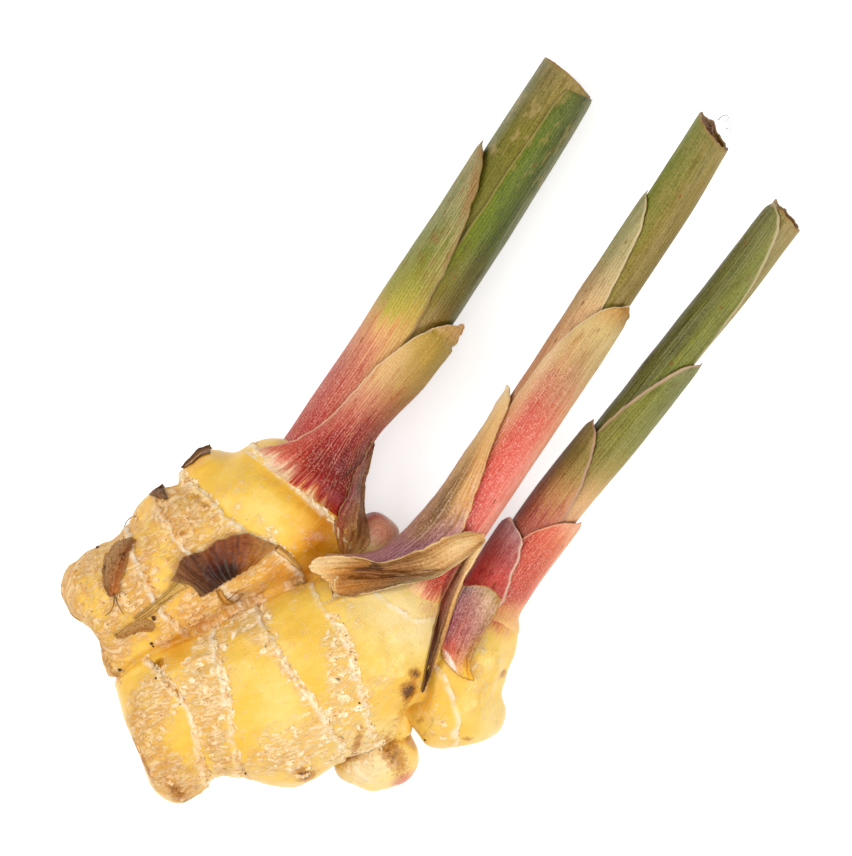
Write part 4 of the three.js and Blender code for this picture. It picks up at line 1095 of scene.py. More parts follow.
dry_leaf(
    "middle_long_husk_leaf", "middle_shoot_long_husk", LONG_HUSK,
    leaf_paint(
        "long_husk_mauve_and_tan",
        [
            (-0.7, [
                (0, "fff0d4"), (8, "f8dcb4"), (17, "dcb49c"), (26, "d0a0a0"), (36, "c48c98"), (46, "c08088"),
                (58, "cc8c80"), (66, "dcac7c"),
            ]),
            (-0.1, [
                (0, "ffeccc"), (10, "fcd8a4"), (18, "e4bc88"), (26, "cca478"), (32, "b88c64"), (38, "b88c70"),
                (45, "b87c80"), (56, "c4848c"), (66, "e4b884"),
            ]),
            (0.35, [
                (0, "ffe4bc"), (8, "f8cc8c"), (16, "e0b074"), (22, "b08450"), (30, "86643c"), (38, "a07850"),
                (46, "a46c78"), (56, "b87884"), (66, "e0b480"),
            ]),
            (0.62, [
                (0, "ffe0b4"), (10, "f8c888"), (18, "e4ac68"), (26, "dca464"), (31, "c08c5c"), (36, "b0786c"),
                (44, "a06474"), (56, "b07080"), (66, "d8a878"),
            ]),
            (0.92, [
                (0, "f0cc98"), (10, "f0c084"), (18, "e0a868"), (27, "dc9c5c"), (31, "d8a488"), (37, "cc8c90"),
                (44, "b07480"), (56, "b0707c"), (66, "d8a878"),
            ]),
        ],
        ("f0d8b0", 0.4), speckle=("ecc8bc", 0.45, 20, 56), margin=("e8b878", 0.4), rough=0.6,
        blotches=("6a4228", 0.35, 20, 44), comb=0.6, wild=0.3, tints=("5c4426", "f4dcb4"), streaky=0.5,
        haze="262626",
    ),
    rest=0.35, teeth=0.35, torn=(0.3, 0.8), ripple=0.22, lip=0.1, pleat=0.05, seed=44,
    shades=[
        (11.9, -8, 0.8, 6, 3, 0.4), (12, 2, 0.6, 4, 3, 0.3), (14.2, -7, 0.5, 4, 4, 0.25),
        (9.6, 20, 1, 3, 0, -0.5), (15.4, 1, 0.6, 4, 14, -0.4), (17.4, -5, 0.5, 3, 20, -0.5),
        (10.6, 10, 0.5, 5, 0, -0.3),
    ],
    size=(150, 48),
)
CURLED_HUSK = [  # from its torn left end to its tip, each line from the upper to the lower margin
    [(-4.8, -33.8, 30.2), (-4.4, -36.6, 30.8), (-1.4, -37, 31), (1.2, -37.4, 32), (3.4, -39.6, 32)],
    [(-0.8, -30.9, 31.6), (0.2, -33, 32.9), (1.4, -34.3, 32), (3.2, -35.8, 33.8), (5.4, -38.1, 32.6)],
    [(3.6, -28.5, 32.8), (4.6, -29.6, 33.9), (5.6, -30.9, 32.8), (7.2, -32.4, 34.4), (9.4, -33.8, 33)],
    [(7.8, -27, 33.6), (8.8, -27.6, 34.8), (9.8, -28.6, 33.2), (11.2, -29.2, 34.4), (13, -29.8, 32.4)],
    [(11.3, -22.8, 33.2), (13, -23.6, 34.8), (15, -24.9, 33.3), (15.9, -25.2, 33.8), (16.8, -25.4, 32)],
    [(14, -18.6, 32), (16.6, -19.6, 33.8), (19, -21.3, 32.4), (19.9, -21.3, 32.6), (20.6, -21.4, 31)],
    [(16.8, -13.8, 30.6), (19, -14.8, 32.4), (21.2, -16.6, 31.4), (21.9, -16.8, 31.3), (22.5, -17, 30)],
    [(20.6, -9.9, 29), (21.8, -10.8, 30.3), (23, -12.2, 29.7), (23.5, -12.4, 29.5), (23.9, -12.6, 28.8)],
    [(23.8, -8.4, 28.5), (24.1, -8.7, 28.7), (24.4, -9, 28.6), (24.6, -9.2, 28.5), (24.8, -9.5, 28.3)],
]
dry_leaf(
    "curled_husk_leaf", "middle_shoot_curled_husk", CURLED_HUSK,
    leaf_paint(
        "curled_husk_brown",
        [
            (-0.9, [
                (0, "f0cc94"), (5, "e8bc80"), (9, "b8803f"), (15, "9c6c40"), (22, "a87440"), (29, "dca868"),
                (38, "d8a464"),
            ]),
            (-0.3, [
                (0, "ecc488"), (4, "d49c54"), (8, "a86c30"), (14, "8c5830"), (20, "9c6a3c"), (27, "d8a668"),
                (33, "f4cc90"), (38, "d8a868"),
            ]),
            (0.15, [
                (0, "e4b470"), (4, "bc7c38"), (10, "8c5428"), (16, "74482c"), (21, "8c5c34"), (27, "d09c60"),
                (33, "ecc084"), (38, "c8965c"),
            ]),
            (0.6, [
                (0, "dca860"), (4, "b87838"), (12, "94602e"), (18, "7c5434"), (24, "8c6440"), (30, "c8965c"),
                (38, "b8864c"),
            ]),
            (0.95, [
                (0, "f0c888"), (3, "b88444"), (12, "7c5438"), (18, "706048"), (23, "8c7c58"), (31, "c89c60"),
                (38, "a87c4c"),
            ]),
        ],
        ("dcb47c", 0.3), speckle=("e0b884", 0.3, 22, 38), margin=("ecca90", 0.4), rough=0.6,
        blotches=("5c3618", 0.5, 4, 26), grain=0.6, wild=1.6, tints=("4a2814", "e4c898"), streaky=0.6,
        haze="202020",
    ),
    rest=0.4, teeth=0.35, torn=(2.4, 0.1), ripple=0.5, lip=0.35, pleat=0.04, seed=45,
    # The first dark rows are painted shade, along the valley and under the rolled upper margin. The pale rows
    # at (16.5, -24) and (10.5, -27.8) are painted light along the ridge of the rolled lower margin.
    shades=[
        (18, -22.4, 4, 0.6, 40, 0.8), (12, -26.6, 4, 0.6, 30, 0.8), (6, -29.6, 3.6, 0.6, 38, 0.9),
        (0.6, -33, 3, 0.5, 35, 0.6), (6.8, -28.3, 1.2, 0.9, 0, 0.8), (16.5, -24, 4.6, 0.4, 38, -0.9),
        (10.5, -27.8, 3.4, 0.4, 28, -0.8), (20.4, -13.4, 3.4, 1.6, 55, -0.4), (21.6, -17, 2.6, 0.8, 62, -0.4),
        (-1.4, -33.6, 2.6, 0.8, 38, -0.5), (3.2, -34.4, 2.2, 0.5, 60, 0.5), (7.6, -32.2, 3, 0.5, 48, 0.5),
        (1.2, -36.6, 0.4, 2, 0, -0.7), (3.4, -39, 0.8, 0.8, 0, -0.8),
    ],
    size=(130, 60),
)
HUSK_SHRED = [  # from the tip it shares with the curled husk down the right of the finger
    [(24.4, -9.4, 28.3), (24.6, -9.4, 28.5), (24.8, -9.6, 28.3)],
    [(23.3, -13, 27.8), (24.3, -12.8, 28.7), (25.3, -12.6, 28)],
    [(23.2, -16, 27.2), (24.4, -16, 28.4), (25.7, -15.8, 27.4)],
    [(23.6, -20, 26.6), (24.8, -20, 28), (26, -20, 27)],
    [(24.1, -25, 26), (25.6, -25.2, 27.8), (27.1, -25, 26.8)],
    [(25.4, -30, 26), (27, -30.2, 27.8), (28.5, -30, 27)],
    [(27.2, -35, 26), (28.6, -35.2, 27.6), (30, -35, 27)],
    [(29, -39.6, 25.4), (30.1, -39.8, 26.6), (31.2, -39.8, 26)],
    [(31, -44, 23.6), (31.7, -44.2, 24.4), (32.3, -44.2, 24)],
    [(32.1, -46.6, 22.4), (32.3, -46.8, 22.6), (32.5, -46.8, 22.4)],
]
dry_leaf(
    "husk_shred_leaf", "middle_shoot_husk_shred", HUSK_SHRED,
    leaf_paint(
        "husk_shred_brown",
        [
            # On the left side, the dark red-brown from 11 to 18 mm along is painted shade, where that side
            # lies in shadow.
            (-0.7, [
                (0, "d0a468"), (7, "b98a50"), (11, "6f3428"), (18, "74382c"), (26, "5a3420"), (36, "4a2c18"),
            ]),
            (0.3, [
                (0, "e8c080"), (7, "e8bc7c"), (11, "b8865a"), (18, "8c583c"), (26, "6c4626"), (36, "5a381e"),
            ]),
            (0.75, [
                (0, "f0cc90"), (12, "f4c88c"), (20, "e0a860"), (28, "b88040"), (33, "7c5028"), (38, "54341c"),
            ]),
        ],
        ("c89a5c", 0.25), speckle=("ecd0a0", 0.5, 0, 12), margin=("e0b478", 0.22), rough=0.6,
        blotches=("2e1a10", 0.5, 14, 36), grain=0.6, wild=0.8, haze="202020",
    ),
    rest=0.3, teeth=0.22, torn=(0.1, 0.4), ripple=0.2, lip=0.25, seed=46, size=(120, 20),
)

HUSK_TONGUE = [  # a pale torn lip at the husk's left end, and the thread that it ends in
    [(0.5, -36.2, 31.4), (1.1, -36.2, 32.6), (1.7, -36.2, 31.9)],
    [(1.2, -38, 31.2), (2, -37.8, 32.4), (2.8, -37.4, 31.8)],
    [(2.6, -39.4, 31), (3.1, -38.9, 32), (3.8, -38.6, 31.4)],
    [(3.2, -40.2, 30.6), (3.5, -40.1, 31.2), (3.8, -40, 30.8)],
    [(2.6, -41.2, 30.4), (2.8, -41.1, 30.8), (3, -41, 30.4)],
    [(2, -42, 30), (2.1, -41.9, 30.2), (2.2, -41.8, 30)],
]
dry_leaf(
    "husk_tongue_leaf", "middle_shoot_curled_husk", HUSK_TONGUE,
    leaf_paint(
        "husk_tongue_cream",
        [
            (-0.7, [(0, "dcb070"), (3, "ecc88c"), (7, "f6dca8")]),
            (0.7, [(0, "c89450"), (3, "e4bc7c"), (7, "f4d89c")]),
        ],
        ("fbeac4", 0.4), margin=("fbe8bc", 0.3), rough=0.6,
    ),
    rest=0.7, teeth=0.2, torn=(0.3, 0.1), ripple=0.25, lip=0.25, seed=47, size=(60, 16),
)
LEFT_FOLD = [  # down the right of the left shoot's foot, each line from its inner margin to its outer one
    [(-9.8, -4.6, 14), (-9.3, -4.9, 14), (-8.9, -5.3, 14)],
    [(-9.3, -10, 14), (-8.2, -10.2, 14), (-6.9, -10.6, 13)],
    [(-8.7, -14.5, 14), (-6.8, -14.8, 14), (-4.8, -15.2, 13)],
    [(-7.6, -18.6, 14), (-4.8, -18.8, 14), (-2, -19.4, 13)],
    [(-7.2, -22.6, 14), (-3.4, -22, 14), (0.6, -21.9, 13)],
    [(-6.2, -25.4, 14), (-1.8, -24.8, 14), (2.5, -24.2, 13)],
    [(-4.4, -28, 14), (-0.6, -27.6, 14), (3, -26.4, 12)],
    [(-2, -30, 13), (0, -30, 13), (2.2, -29, 12)],
]
dry_leaf(
    "left_fold_leaf", "left_shoot_outer_sheath", LEFT_FOLD,
    leaf_paint(
        "left_fold_olive_and_brown",
        [
            (-0.8, [(0, "a8645c"), (8, "90404a"), (15, "8c3c3c"), (20, "b0603c"), (27, "e0a050")]),
            (-0.2, [(0, "a06858"), (8, "a0685c"), (14, "a4684c"), (20, "c88c54"), (27, "e4ac60")]),
            (0.3, [(0, "98684c"), (8, "986850"), (14, "a87048"), (20, "d09860"), (27, "dcac68")]),
            (0.8, [(0, "88583c"), (8, "80553a"), (16, "a87848"), (22, "cc9860"), (27, "dcac68")]),
        ],
        ("ccac70", 0.45), speckle=("d8b8a8", 0.4, 2, 16), margin=("b08850", 0.3), rough=0.6,
        blotches=("6c4428", 0.35, 4, 26), grain=0.6, wild=1.4, tints=("54342a", "e0bc80"), haze="202020",
    ),
    rest=0.24, teeth=0.3, torn=(0.2, 0.7), ripple=0.25, lip=0.0, pleats=5, pleat=0.1, seed=48,
    shades=[(-1.6, -22, 0.5, 6, 35, 0.4), (1.4, -26, 0.6, 3, 10, 0.3), (-4, -20, 0.6, 4, 30, -0.4)],
    size=(110, 36), on=(ground, surface_of(left_outer_leaf)),
)

# ---- The right shoot ----
# The shoot with the most layers. A green sheath runs to the cut, a collared green one ends half way, and
# shorter olive, red and purple ones follow down to the foot, where a torn purple sheath lies over all.
RIGHT_SHOOT = [
    (34.2, -26, 13, 3.6), (34, -10, 13.4, 3.7), (34.5, 5, 14.2, 4), (36.5, 27, 16, 4.3), (38, 50, 18.4, 4.4),
    (39.8, 70, 20.8, 4.6), (41, 92.5, 23.6, 4.5),
]
core(
    "right_core", "right_shoot_core", RIGHT_SHOOT, cut=92.9, slope=(-1.3, -0.9), wall=0.15,
    depth=8.0, ragged=0.5, seed=51,
    material=leaf_paint(
        "right_core_leaf",
        [
            (-0.6, [*CORE_FOOT, (36, "8a8048"), (60, "8a8048"), (92, "8a8048")]),
            (0.7, [*CORE_FOOT, (36, "9a8c50"), (60, "9a8c50"), (80, "9a8c58"), (92, "a38e5c")]),
        ],
        ("b3a468", 0.25), speckle=("c0b080", 0.35, 60, 92), rough=0.48, rim=True,
        blotches=("a58a54", 0.4, 60, 92),
    ),
)
sheath(
    "right_green_leaf", "right_shoot_green_sheath", RIGHT_SHOOT, layer=1, facing=-60,
    reach=[(93, 26), (91, 46), (88.4, 66), (82, 86), (74, 102), (60, 118), (0, 122)],
    material=leaf_paint(
        "right_green_leaf",
        [
            (-0.95, [(20, "62603a"), (50, "615e3a"), (75, "6a683e"), (91, "7c7850")]),
            (-0.4, [(20, "6c6a38"), (50, "68683a"), (75, "737340"), (91, "807e4c")]),
            (0.3, [(20, "7a7a34"), (50, "777832"), (75, "7f813a"), (91, "8a8846")]),
            (0.9, [(20, "6c6c38"), (50, "6f6f38"), (75, "848444"), (91, "908c50")]),
        ],
        ("a8a864", 0.3), margin=("d0bc94", 1.2), rough=0.42, blotches=("8a7a4c", 0.35, 60, 92),
    ),
    seed=52,
)
sheath(
    "right_collar_leaf", "right_shoot_collar_sheath", RIGHT_SHOOT, layer=2, facing=72,
    reach=[(53, 8), (51.8, 28), (50, 44), (46, 64), (40, 84), (34, 102), (27, 116), (-5, 122)],
    material=leaf_paint(
        "right_collar_leaf",
        [
            (-0.8, [(0, "8c6c40"), (20, "86783c"), (35, "7c7a3a"), (50, "86804c")]),
            (0.1, [(0, "b87c54"), (12, "a88450"), (23, "847c3c"), (40, "80803a"), (52, "848048")]),
            (0.7, [
                (0, "e8b08c"), (12, "e0b07c"), (19, "b09858"), (28, "8c8848"), (42, "7c7e46"), (52, "868454"),
            ]),
        ],
        ("b8b878", 0.35), margin=("cca890", 1.2), rough=0.45,
    ),
    seed=53, crumple=0.05,
)
sheath(
    "right_olive_leaf", "right_shoot_olive_sheath", RIGHT_SHOOT, layer=3, facing=-72,
    reach=[(28, 8), (27, 27), (25, 44), (20, 65), (14, 84), (5, 102), (-10, 118)],
    material=leaf_paint(
        "right_olive_to_maroon",
        [
            (-0.95, [(-10, "8c4a44"), (4, "8a4e40"), (12, "7c5a40"), (20, "74663c"), (27, "8a7a50")]),
            (-0.3, [
                (-10, "a45048"), (2, "ad5a48"), (9, "b88450"), (16, "9a8248"), (22, "8a7a40"), (27, "a08858"),
            ]),
            (0.4, [(-10, "b05a4c"), (2, "c0705a"), (9, "cf9468"), (16, "b8945c"), (27, "a89060")]),
        ],
        ("c0a070", 0.3), speckle=("d0a090", 0.4, -10, 12), margin=("c09884", 0.9),
    ),
    seed=54, crumple=0.06,
)
sheath(
    "right_red_leaf", "right_shoot_red_sheath", RIGHT_SHOOT, layer=4, facing=70,
    reach=[(6.4, 10), (5.4, 32), (3, 54), (-2, 82), (-10, 104), (-18, 118), (-27, 130)],
    material=leaf_paint(
        "right_red_leaf",
        [
            (-0.6, [(-27, "f6d486"), (-23, "f0b078"), (-18, "c04c42"), (-5, "b84a3c"), (5, "d89074")]),
            (0.2, [
                (-27, "f8d888"), (-22, "f4ac70"), (-18, "c04a3e"), (-6, "cc5644"), (2, "dc6e50"),
                (6, "f0b08c"),
            ]),
            (0.75, [
                (-27, "f8d888"), (-21, "f4b878"), (-16, "c85848"), (-6, "d4684e"), (1, "e07c56"),
                (6, "f4b894"),
            ]),
            (1.0, [
                (-27, "f8d888"), (-21, "f4c080"), (-15, "e88c74"), (-6, "eca084"), (2, "f0a880"),
                (6, "f4bc98"),
            ]),
        ],
        ("f6c8a0", 0.25), speckle=("f6c4b0", 0.5, -22, 4), margin=("f4b890", 0.6), rough=0.46, streaky=0.7,
    ),
    spread=[(-27, 1.4), (-18, 0)], lift=[(-27, 3.4), (-18, 0.6), (-10, 0)], hug=-16, seed=55, crumple=0.06,
)
sheath(
    "right_purple_leaf", "right_shoot_purple_sheath", RIGHT_SHOOT, layer=5, facing=-62,
    reach=[(-2, 16), (-2.8, 36), (-4.4, 50), (-9, 62), (-15, 74), (-19, 84), (-24, 70)],
    material=leaf_paint(
        "right_purple_leaf",
        [
            (-0.95, [(-24, "e87468"), (-16, "dc6058"), (-10, "b86460"), (-2, "b08c90")]),
            (-0.3, [(-24, "ec7868"), (-16, "d8584e"), (-9, "bc6460"), (-2, "b48c88")]),
            (0.1, [(-24, "e0705c"), (-16, "c8544a"), (-9, "b85c54"), (-2, "bc9084")]),
            (0.4, [(-24, "ecb090"), (-16, "ecac90"), (-9, "e4a890"), (-2, "e0b8a0")]),
        ],
        ("d89a88", 0.25), speckle=("e0a8a0", 0.45, -24, -4), margin=("eccab0", 0.9), rough=0.52,
        blotches=("8c3038", 0.5, -20, -6), comb=0.3, streaky=0.6,
    ),
    spread=[(-27, 1.4), (-18, 0)], lift=[(-27, 3.4), (-18, 0.6), (-10, 0)], hug=-18, tear=0.8, seed=56,
    crumple=0.16, crimp=0.5,
)
TORN_SHEATH = [  # from its top down to its foot, from the left margin to the right one
    [(26.9, -20.4, 24.8), (29.6, -18.8, 26.2), (32.8, -18.1, 26.8), (35.8, -18.6, 25.8)],
    [(27.2, -24, 25.6), (30, -23.4, 27.2), (33.2, -23, 27.6), (36.3, -23, 26)],
    [(28.2, -28, 26), (30.8, -28, 27.4), (33.8, -28, 27.8), (36.7, -28, 26.4)],
    [(29.4, -32.4, 26.2), (31.8, -32.4, 27.4), (34.6, -32.4, 27.6), (37.3, -32.4, 26.6)],
    [(30.4, -35.2, 26), (33, -36, 26.8), (35.6, -36, 27), (38.4, -35.4, 26.6)],
    [(31.4, -36, 25.6), (34.2, -38, 26.2), (37.6, -38.6, 26.4), (41, -37.6, 26)],
]
dry_leaf(
    "torn_sheath_leaf", "right_shoot_torn_sheath", TORN_SHEATH,
    leaf_paint(
        "torn_sheath_purple",
        [
            (-0.8, [
                (0, "b0948c"), (3, "b07c7c"), (7, "a46264"), (12, "b05c5c"), (15, "cc5c48"), (18, "ec9468"),
                (21, "f8dcb4"),
            ]),
            (-0.2, [
                (0, "b89878"), (2, "bc8c7c"), (6, "a86860"), (11, "b46058"), (14, "c85c48"), (17, "e49870"),
                (20, "fce4c8"),
            ]),
            (0.4, [
                (0, "b89868"), (2, "d8b08c"), (6, "bc8474"), (11, "c07c68"), (15, "d89468"), (18, "ecb468"),
                (21, "ecb850"),
            ]),
            (0.8, [
                (0, "ac8448"), (3, "c8a078"), (7, "b08060"), (11, "b07838"), (15, "c88820"), (18, "e8ac38"),
                (21, "f0c04c"),
            ]),
        ],
        ("e8c4b4", 0.15), speckle=("eec8bc", 0.5, 0, 14), margin=("c0904c", 0.4), rough=0.58,
        blotches=("8a3c48", 0.5, 2, 13), grain=0.8, wild=1.2, tints=("7c3440", "fbeedc"), streaky=0.5,
    ),
    rest=0.4, teeth=0.3, torn=(0.5, 0.9), ripple=0.32, lip=0.35, pleat=0.03, seed=57,
    shades=[
        (36, -24, 0.3, 5, 4, 0.5), (30.4, -31, 0.8, 2.4, 10, 0.3), (33.6, -36.8, 2.6, 0.6, -28, -0.9),
        (30, -25, 2, 1.6, 0, 0.25), (35.2, -22, 0.6, 2.6, 0, -0.3),
    ],
    size=(80, 60),
)


# ---- The scale leaves left on the rhizome ----
# Each node ring once bore a leaf that wrapped the finger. A brown pleated fan, two fuzzy brown scraps, a long
# thin shred, two flakes on the flank and a few rims are all that is left of them, dried on to the skin.
FAN_SCALE = [  # from its upper stalk round to its lower corner, each line from the hinge to the scalloped rim
    [(-16, -42.2, 0.3), (-15.4, -40.4, 0.7), (-14.7, -38.8, 0.8), (-14, -37.2, 0.5)],
    [(-17.4, -46, 0.3), (-17.7, -43.4, 0.7), (-18.2, -40.6, 0.8), (-18.8, -37.8, 0.5)],
    [(-18.4, -48.2, 0.3), (-20.2, -45.8, 0.8), (-22, -42.8, 1), (-23.8, -39.6, 0.5)],
    [(-19.2, -50, 0.3), (-21.6, -48.6, 0.9), (-24.2, -46.6, 1.1), (-26.8, -44.4, 0.6)],
    [(-20, -51.8, 0.3), (-22.8, -51, 0.9), (-25.6, -49.6, 1.2), (-28.4, -48.2, 0.7)],
    [(-20.8, -53.6, 0.3), (-24, -53.4, 0.9), (-27.6, -52.8, 1.2), (-31.4, -51.8, 0.8)],
    [(-21.6, -55.4, 0.3), (-24.6, -55, 0.8), (-27.6, -55, 1), (-30.8, -55, 0.7)],
    [(-22.4, -56.8, 0.3), (-25, -56.2, 0.6), (-27.8, -56.6, 0.7), (-30.8, -58.2, 0.5)],
]
dry_leaf(
    "fan_scale_leaf", "fan_scale",
    [list(line) for line in zip(*FAN_SCALE)],
    leaf_paint(
        "fan_scale_brown",
        [
            (-0.9, [(0, "a46830"), (4, "b07028"), (9, "b07c3c")]),
            (-0.5, [(0, "7c4420"), (4, "88440c"), (9, "924e12")]),
            (-0.1, [(0, "54301c"), (4, "552608"), (9, "7e400e")]),
            (0.35, [(0, "44281a"), (4, "4e2a14"), (9, "744220")]),
            (0.7, [(0, "5c3a22"), (5, "744626"), (10, "8c5c34")]),
            (0.95, [(0, "785430"), (5, "8c6034"), (10, "a07040")]),
        ],
        ("26130a", 0.75), margin=("b98c58", 0.25), blotches=("241610", 0.35, 0, 8), wild=0.3,
        tints=("30201a", "c99a60"), haze="181818",
    ),
    laid=True, teeth=0.5, torn=(0.1, 0.6), ripple=0.25, lip=0.25, pleats=11, pleat=-0.16, seed=61,
    shades=[
        (-20.5, -48.5, 3, 2.4, -40, 0.9), (-23.5, -51, 2.4, 1.6, 0, 0.6), (-18.6, -44.6, 1.4, 3, 0, 0.4),
        (-30.4, -52.6, 1, 1.4, 0, -0.3), (-15.4, -40, 0.6, 2.6, -20, -0.5),
    ],
    size=(60, 130),
)
LONG_SHRED = [
    [(-29.2, -57.2, 0.5), (-27.8, -56.8, 0.7), (-26.4, -56.8, 0.5)],
    [(-29.6, -60.4, 0.3), (-28.8, -60.2, 0.7), (-28, -60, 0.3)],
    [(-30.8, -64.4, 0.3), (-29.8, -64.2, 0.6), (-28.9, -64, 0.3)],
    [(-31.8, -67.4, 0.3), (-30.8, -67.2, 0.6), (-29.9, -66.9, 0.3)],
    [(-32.7, -69.8, 0.2), (-31.8, -69.8, 0.3), (-30.9, -69.4, 0.2)],
]
dry_leaf(
    "long_shred_leaf", "long_scale_shred", LONG_SHRED,
    leaf_paint(
        "long_shred_tan",
        [
            (-0.7, [
                (0, "b8924c"), (6, "c49a54"), (13, "a8783c")]), (0.7, [(0, "d8b064"), (6, "d0a65c"),
                (13, "b08044"),
            ]),
        ],
        ("ecd09c", 0.5), margin=("b08848", 0.25), rough=0.6, blotches=("6a4a28", 0.5, 2, 13), grain=0.6,
        wild=0.3,
    ),
    laid=True, teeth=0.22, torn=(0.3, 0.5), ripple=0.12, lip=0.15, seed=62, size=(70, 18),
)
DARK_BUD_SCALE = [
    [(-43.8, -54.4, 0.4), (-43.2, -54.2, 0.5), (-42.6, -54.6, 0.4)],
    [(-45.8, -57.6, 0.4), (-44, -57.4, 1), (-42, -57.2, 0.4)],
    [(-46.4, -61, 0.4), (-43.8, -61, 1.3), (-41, -61, 0.4)],
    [(-45, -64.6, 0.4), (-42.6, -64.4, 1.2), (-39.8, -64, 0.4)],
    [(-42.8, -67.4, 0.4), (-41, -67, 0.9), (-38.8, -66.4, 0.5)],
    [(-41.2, -68.6, 0.3), (-40.2, -68.6, 0.5), (-39.4, -67.8, 0.4)],
]
SMALL_BUD_SCALE = [
    [(-28.2, -68, 0.4), (-27.5, -69, 0.6), (-27.6, -70.2, 0.4)],
    [(-30.4, -68.8, 0.4), (-29.6, -70, 1), (-29.2, -71.3, 0.4)],
    [(-32, -70.8, 0.3), (-31.2, -71.8, 0.8), (-30.6, -72.8, 0.3)],
    [(-33.2, -73, 0.3), (-32.6, -73.8, 0.6), (-32, -74.6, 0.3)],
    [(-34.6, -75.4, 0.2), (-34.2, -75.9, 0.3), (-33.8, -76.2, 0.2)],
]
for name, node, net, colours, seed in (
    ("dark_bud_scale_leaf", "dark_bud_scale", DARK_BUD_SCALE, ("a87c50", "70442a", "b4642c"), 63),
    ("small_bud_scale_leaf", "small_bud_scale", SMALL_BUD_SCALE, ("b48850", "a4703c", "b88444"), 64),
):
    dry_leaf(
        name, node, net,
        leaf_paint(
            name + "_fuzz",
            [
                (-0.7, [
                    (0, colours[0]), (8, colours[0]), (14, colours[1])]), (0.7, [(0, colours[1]),
                    (14, colours[2]),
                ]),
            ],
            ("b89468", 0.3), speckle=("d0b080", 0.3, 0, 14), margin=("b07840", 0.5), rough=0.8,
            blotches=("3c2010", 0.9, 0, 14), grain=0.8, wild=0.8, haze="1c1c20",
        ),
        laid=True, teeth=0.6, torn=(0.6, 0.9), ripple=0.4, lip=0.1, pleat=0.05, seed=seed, size=(70, 34),
    )
UPPER_FLANK_FLAKE = [
    [(-41.4, -26.8, 0.5), (-40.6, -27.4, 0.9), (-39.9, -28.2, 0.5)],
    [(-42.9, -29.4, 0.5), (-42, -29.8, 0.9), (-41.2, -30.2, 0.4)],
    [(-43.3, -32.4, 0.5), (-42.6, -32.6, 0.8), (-41.9, -32.8, 0.3)],
    [(-43.7, -35.4, 0.3), (-43.3, -35.2, 0.5), (-42.9, -35, 0.3)],
]
LOWER_FLANK_FLAKE = [
    [(-45.3, -40.9, 0.8), (-45.9, -42.6, 0.9), (-46.1, -44.4, 0.6)],
    [(-44, -41.5, 0.6), (-44.3, -42.8, 0.9), (-44.6, -44, 0.5)],
    [(-41.7, -42.6, 0.3), (-41.9, -42.9, 0.5), (-42, -43.2, 0.3)],
]
for name, node, net, seed in (
    ("upper_flank_flake", "upper_flank_scale", UPPER_FLANK_FLAKE, 65),
    ("lower_flank_flake", "lower_flank_scale", LOWER_FLANK_FLAKE, 66),
):
    dry_leaf(
        name, node, net,
        leaf_paint(
            name + "_brown",
            [(-0.7, [(0, "6a4c34"), (6, "7a5638")]), (0.7, [(0, "8a6440"), (6, "a8763f")])],
            ("b98c58", 0.3), margin=("4a3020", 0.25), rough=0.7, blotches=("33221a", 0.6, 0, 8), grain=0.8,
            wild=0.5, haze="202020",
        ),
        laid=True, teeth=0.3, torn=(0.3, 0.4), ripple=0.2, lip=0.2, seed=seed, size=(50, 24),
    )

FAN_COLLAR = [  # the rim that the fan hangs from
    [(-14.4, -36.9, 0.3), (-14.2, -37.6, 0.8), (-14.2, -38.3, 0.3)],
    [(-11.6, -37.2, 0.3), (-11.5, -37.9, 0.9), (-11.5, -38.5, 0.3)],
    [(-9, -37.9, 0.3), (-9, -38.4, 0.8), (-9.1, -38.9, 0.3)],
    [(-6.8, -38.7, 0.2), (-6.7, -38.9, 0.4), (-6.7, -39.2, 0.2)],
]
BROWN_HORN = [  # a torn end of the same leaf, curled up beside the fan
    [(-20.4, -53.7, 0.2), (-20.1, -53.4, 0.4), (-19.9, -53.1, 0.2)],
    [(-18.6, -54.8, 0.3), (-18.3, -54.3, 0.8), (-18.1, -53.9, 0.3)],
    [(-16.6, -55.4, 0.3), (-16.3, -54.8, 1), (-15.8, -54.2, 0.4)],
    [(-15.2, -53.2, 0.2), (-15, -53, 0.7), (-14.7, -52.8, 0.3)],
    [(-15, -51.2, 0.3), (-14.9, -51.1, 0.8), (-14.8, -51, 0.4)],
]
for name, net, colours, seed in (
    ("fan_collar", FAN_COLLAR, ("cc9854", "e8c080"), 67),
    ("brown_horn", BROWN_HORN, ("b07838", "dca860"), 68),
):
    dry_leaf(
        name, "rhizome", net,
        leaf_paint(
            name + "_tan",
            [(-0.7, [(0, colours[0]), (8, colours[1])]), (0.7, [(0, colours[1]), (8, colours[0])])],
            ("f0cc90", 0.3), margin=("9c6c34", 0.2), rough=0.6,
        ),
        laid=True, teeth=0.25, torn=(0.3, 0.3), ripple=0.15, lip=0.2, seed=seed, size=(40, 14),
    )

# ---- Loose skin, threads and soil on the rhizome ----
# Along the node rings the papery skin stands up in a ragged edge, and small flakes of it have come loose all
# over. Dry leaf fibres and a few grains of soil cling to it.
COVERED = [  # where scales and husks lie on the skin, so that no flake stands up through them
    (-22, -48, 11, 10, 40, 1), (-43, -61, 5, 9, 10, 1), (-31, -72, 6, 4, 45, 1), (-29.5, -63, 2.5, 8, 10, 1),
    (4, -34, 12, 7, 40, 1), (29, -36, 4, 14, 20, 1), (34, -30, 8, 12, 0, 1), (18, -34, 14, 4, 0, 1),
]
uncovered = (patches(points, COVERED) < 0.45) & (points[:, 2] > 2.5)
slopes = array_of(rhizome.data.vertex_normals, "vector", 3)
up_fingers = [np.array(rows[0][:3], float) - rows[-1][:3] for rows in FINGERS.values()]


def spread_out(allowed, gap, seed):
    """Some of the allowed vertices of the rhizome, about one gap apart from one another."""
    order = np.random.default_rng(seed).permutation(np.flatnonzero(allowed))
    cells = np.floor(points[order] / gap).astype(int)
    return order[np.unique(cells, axis=0, return_index=True)[1]]


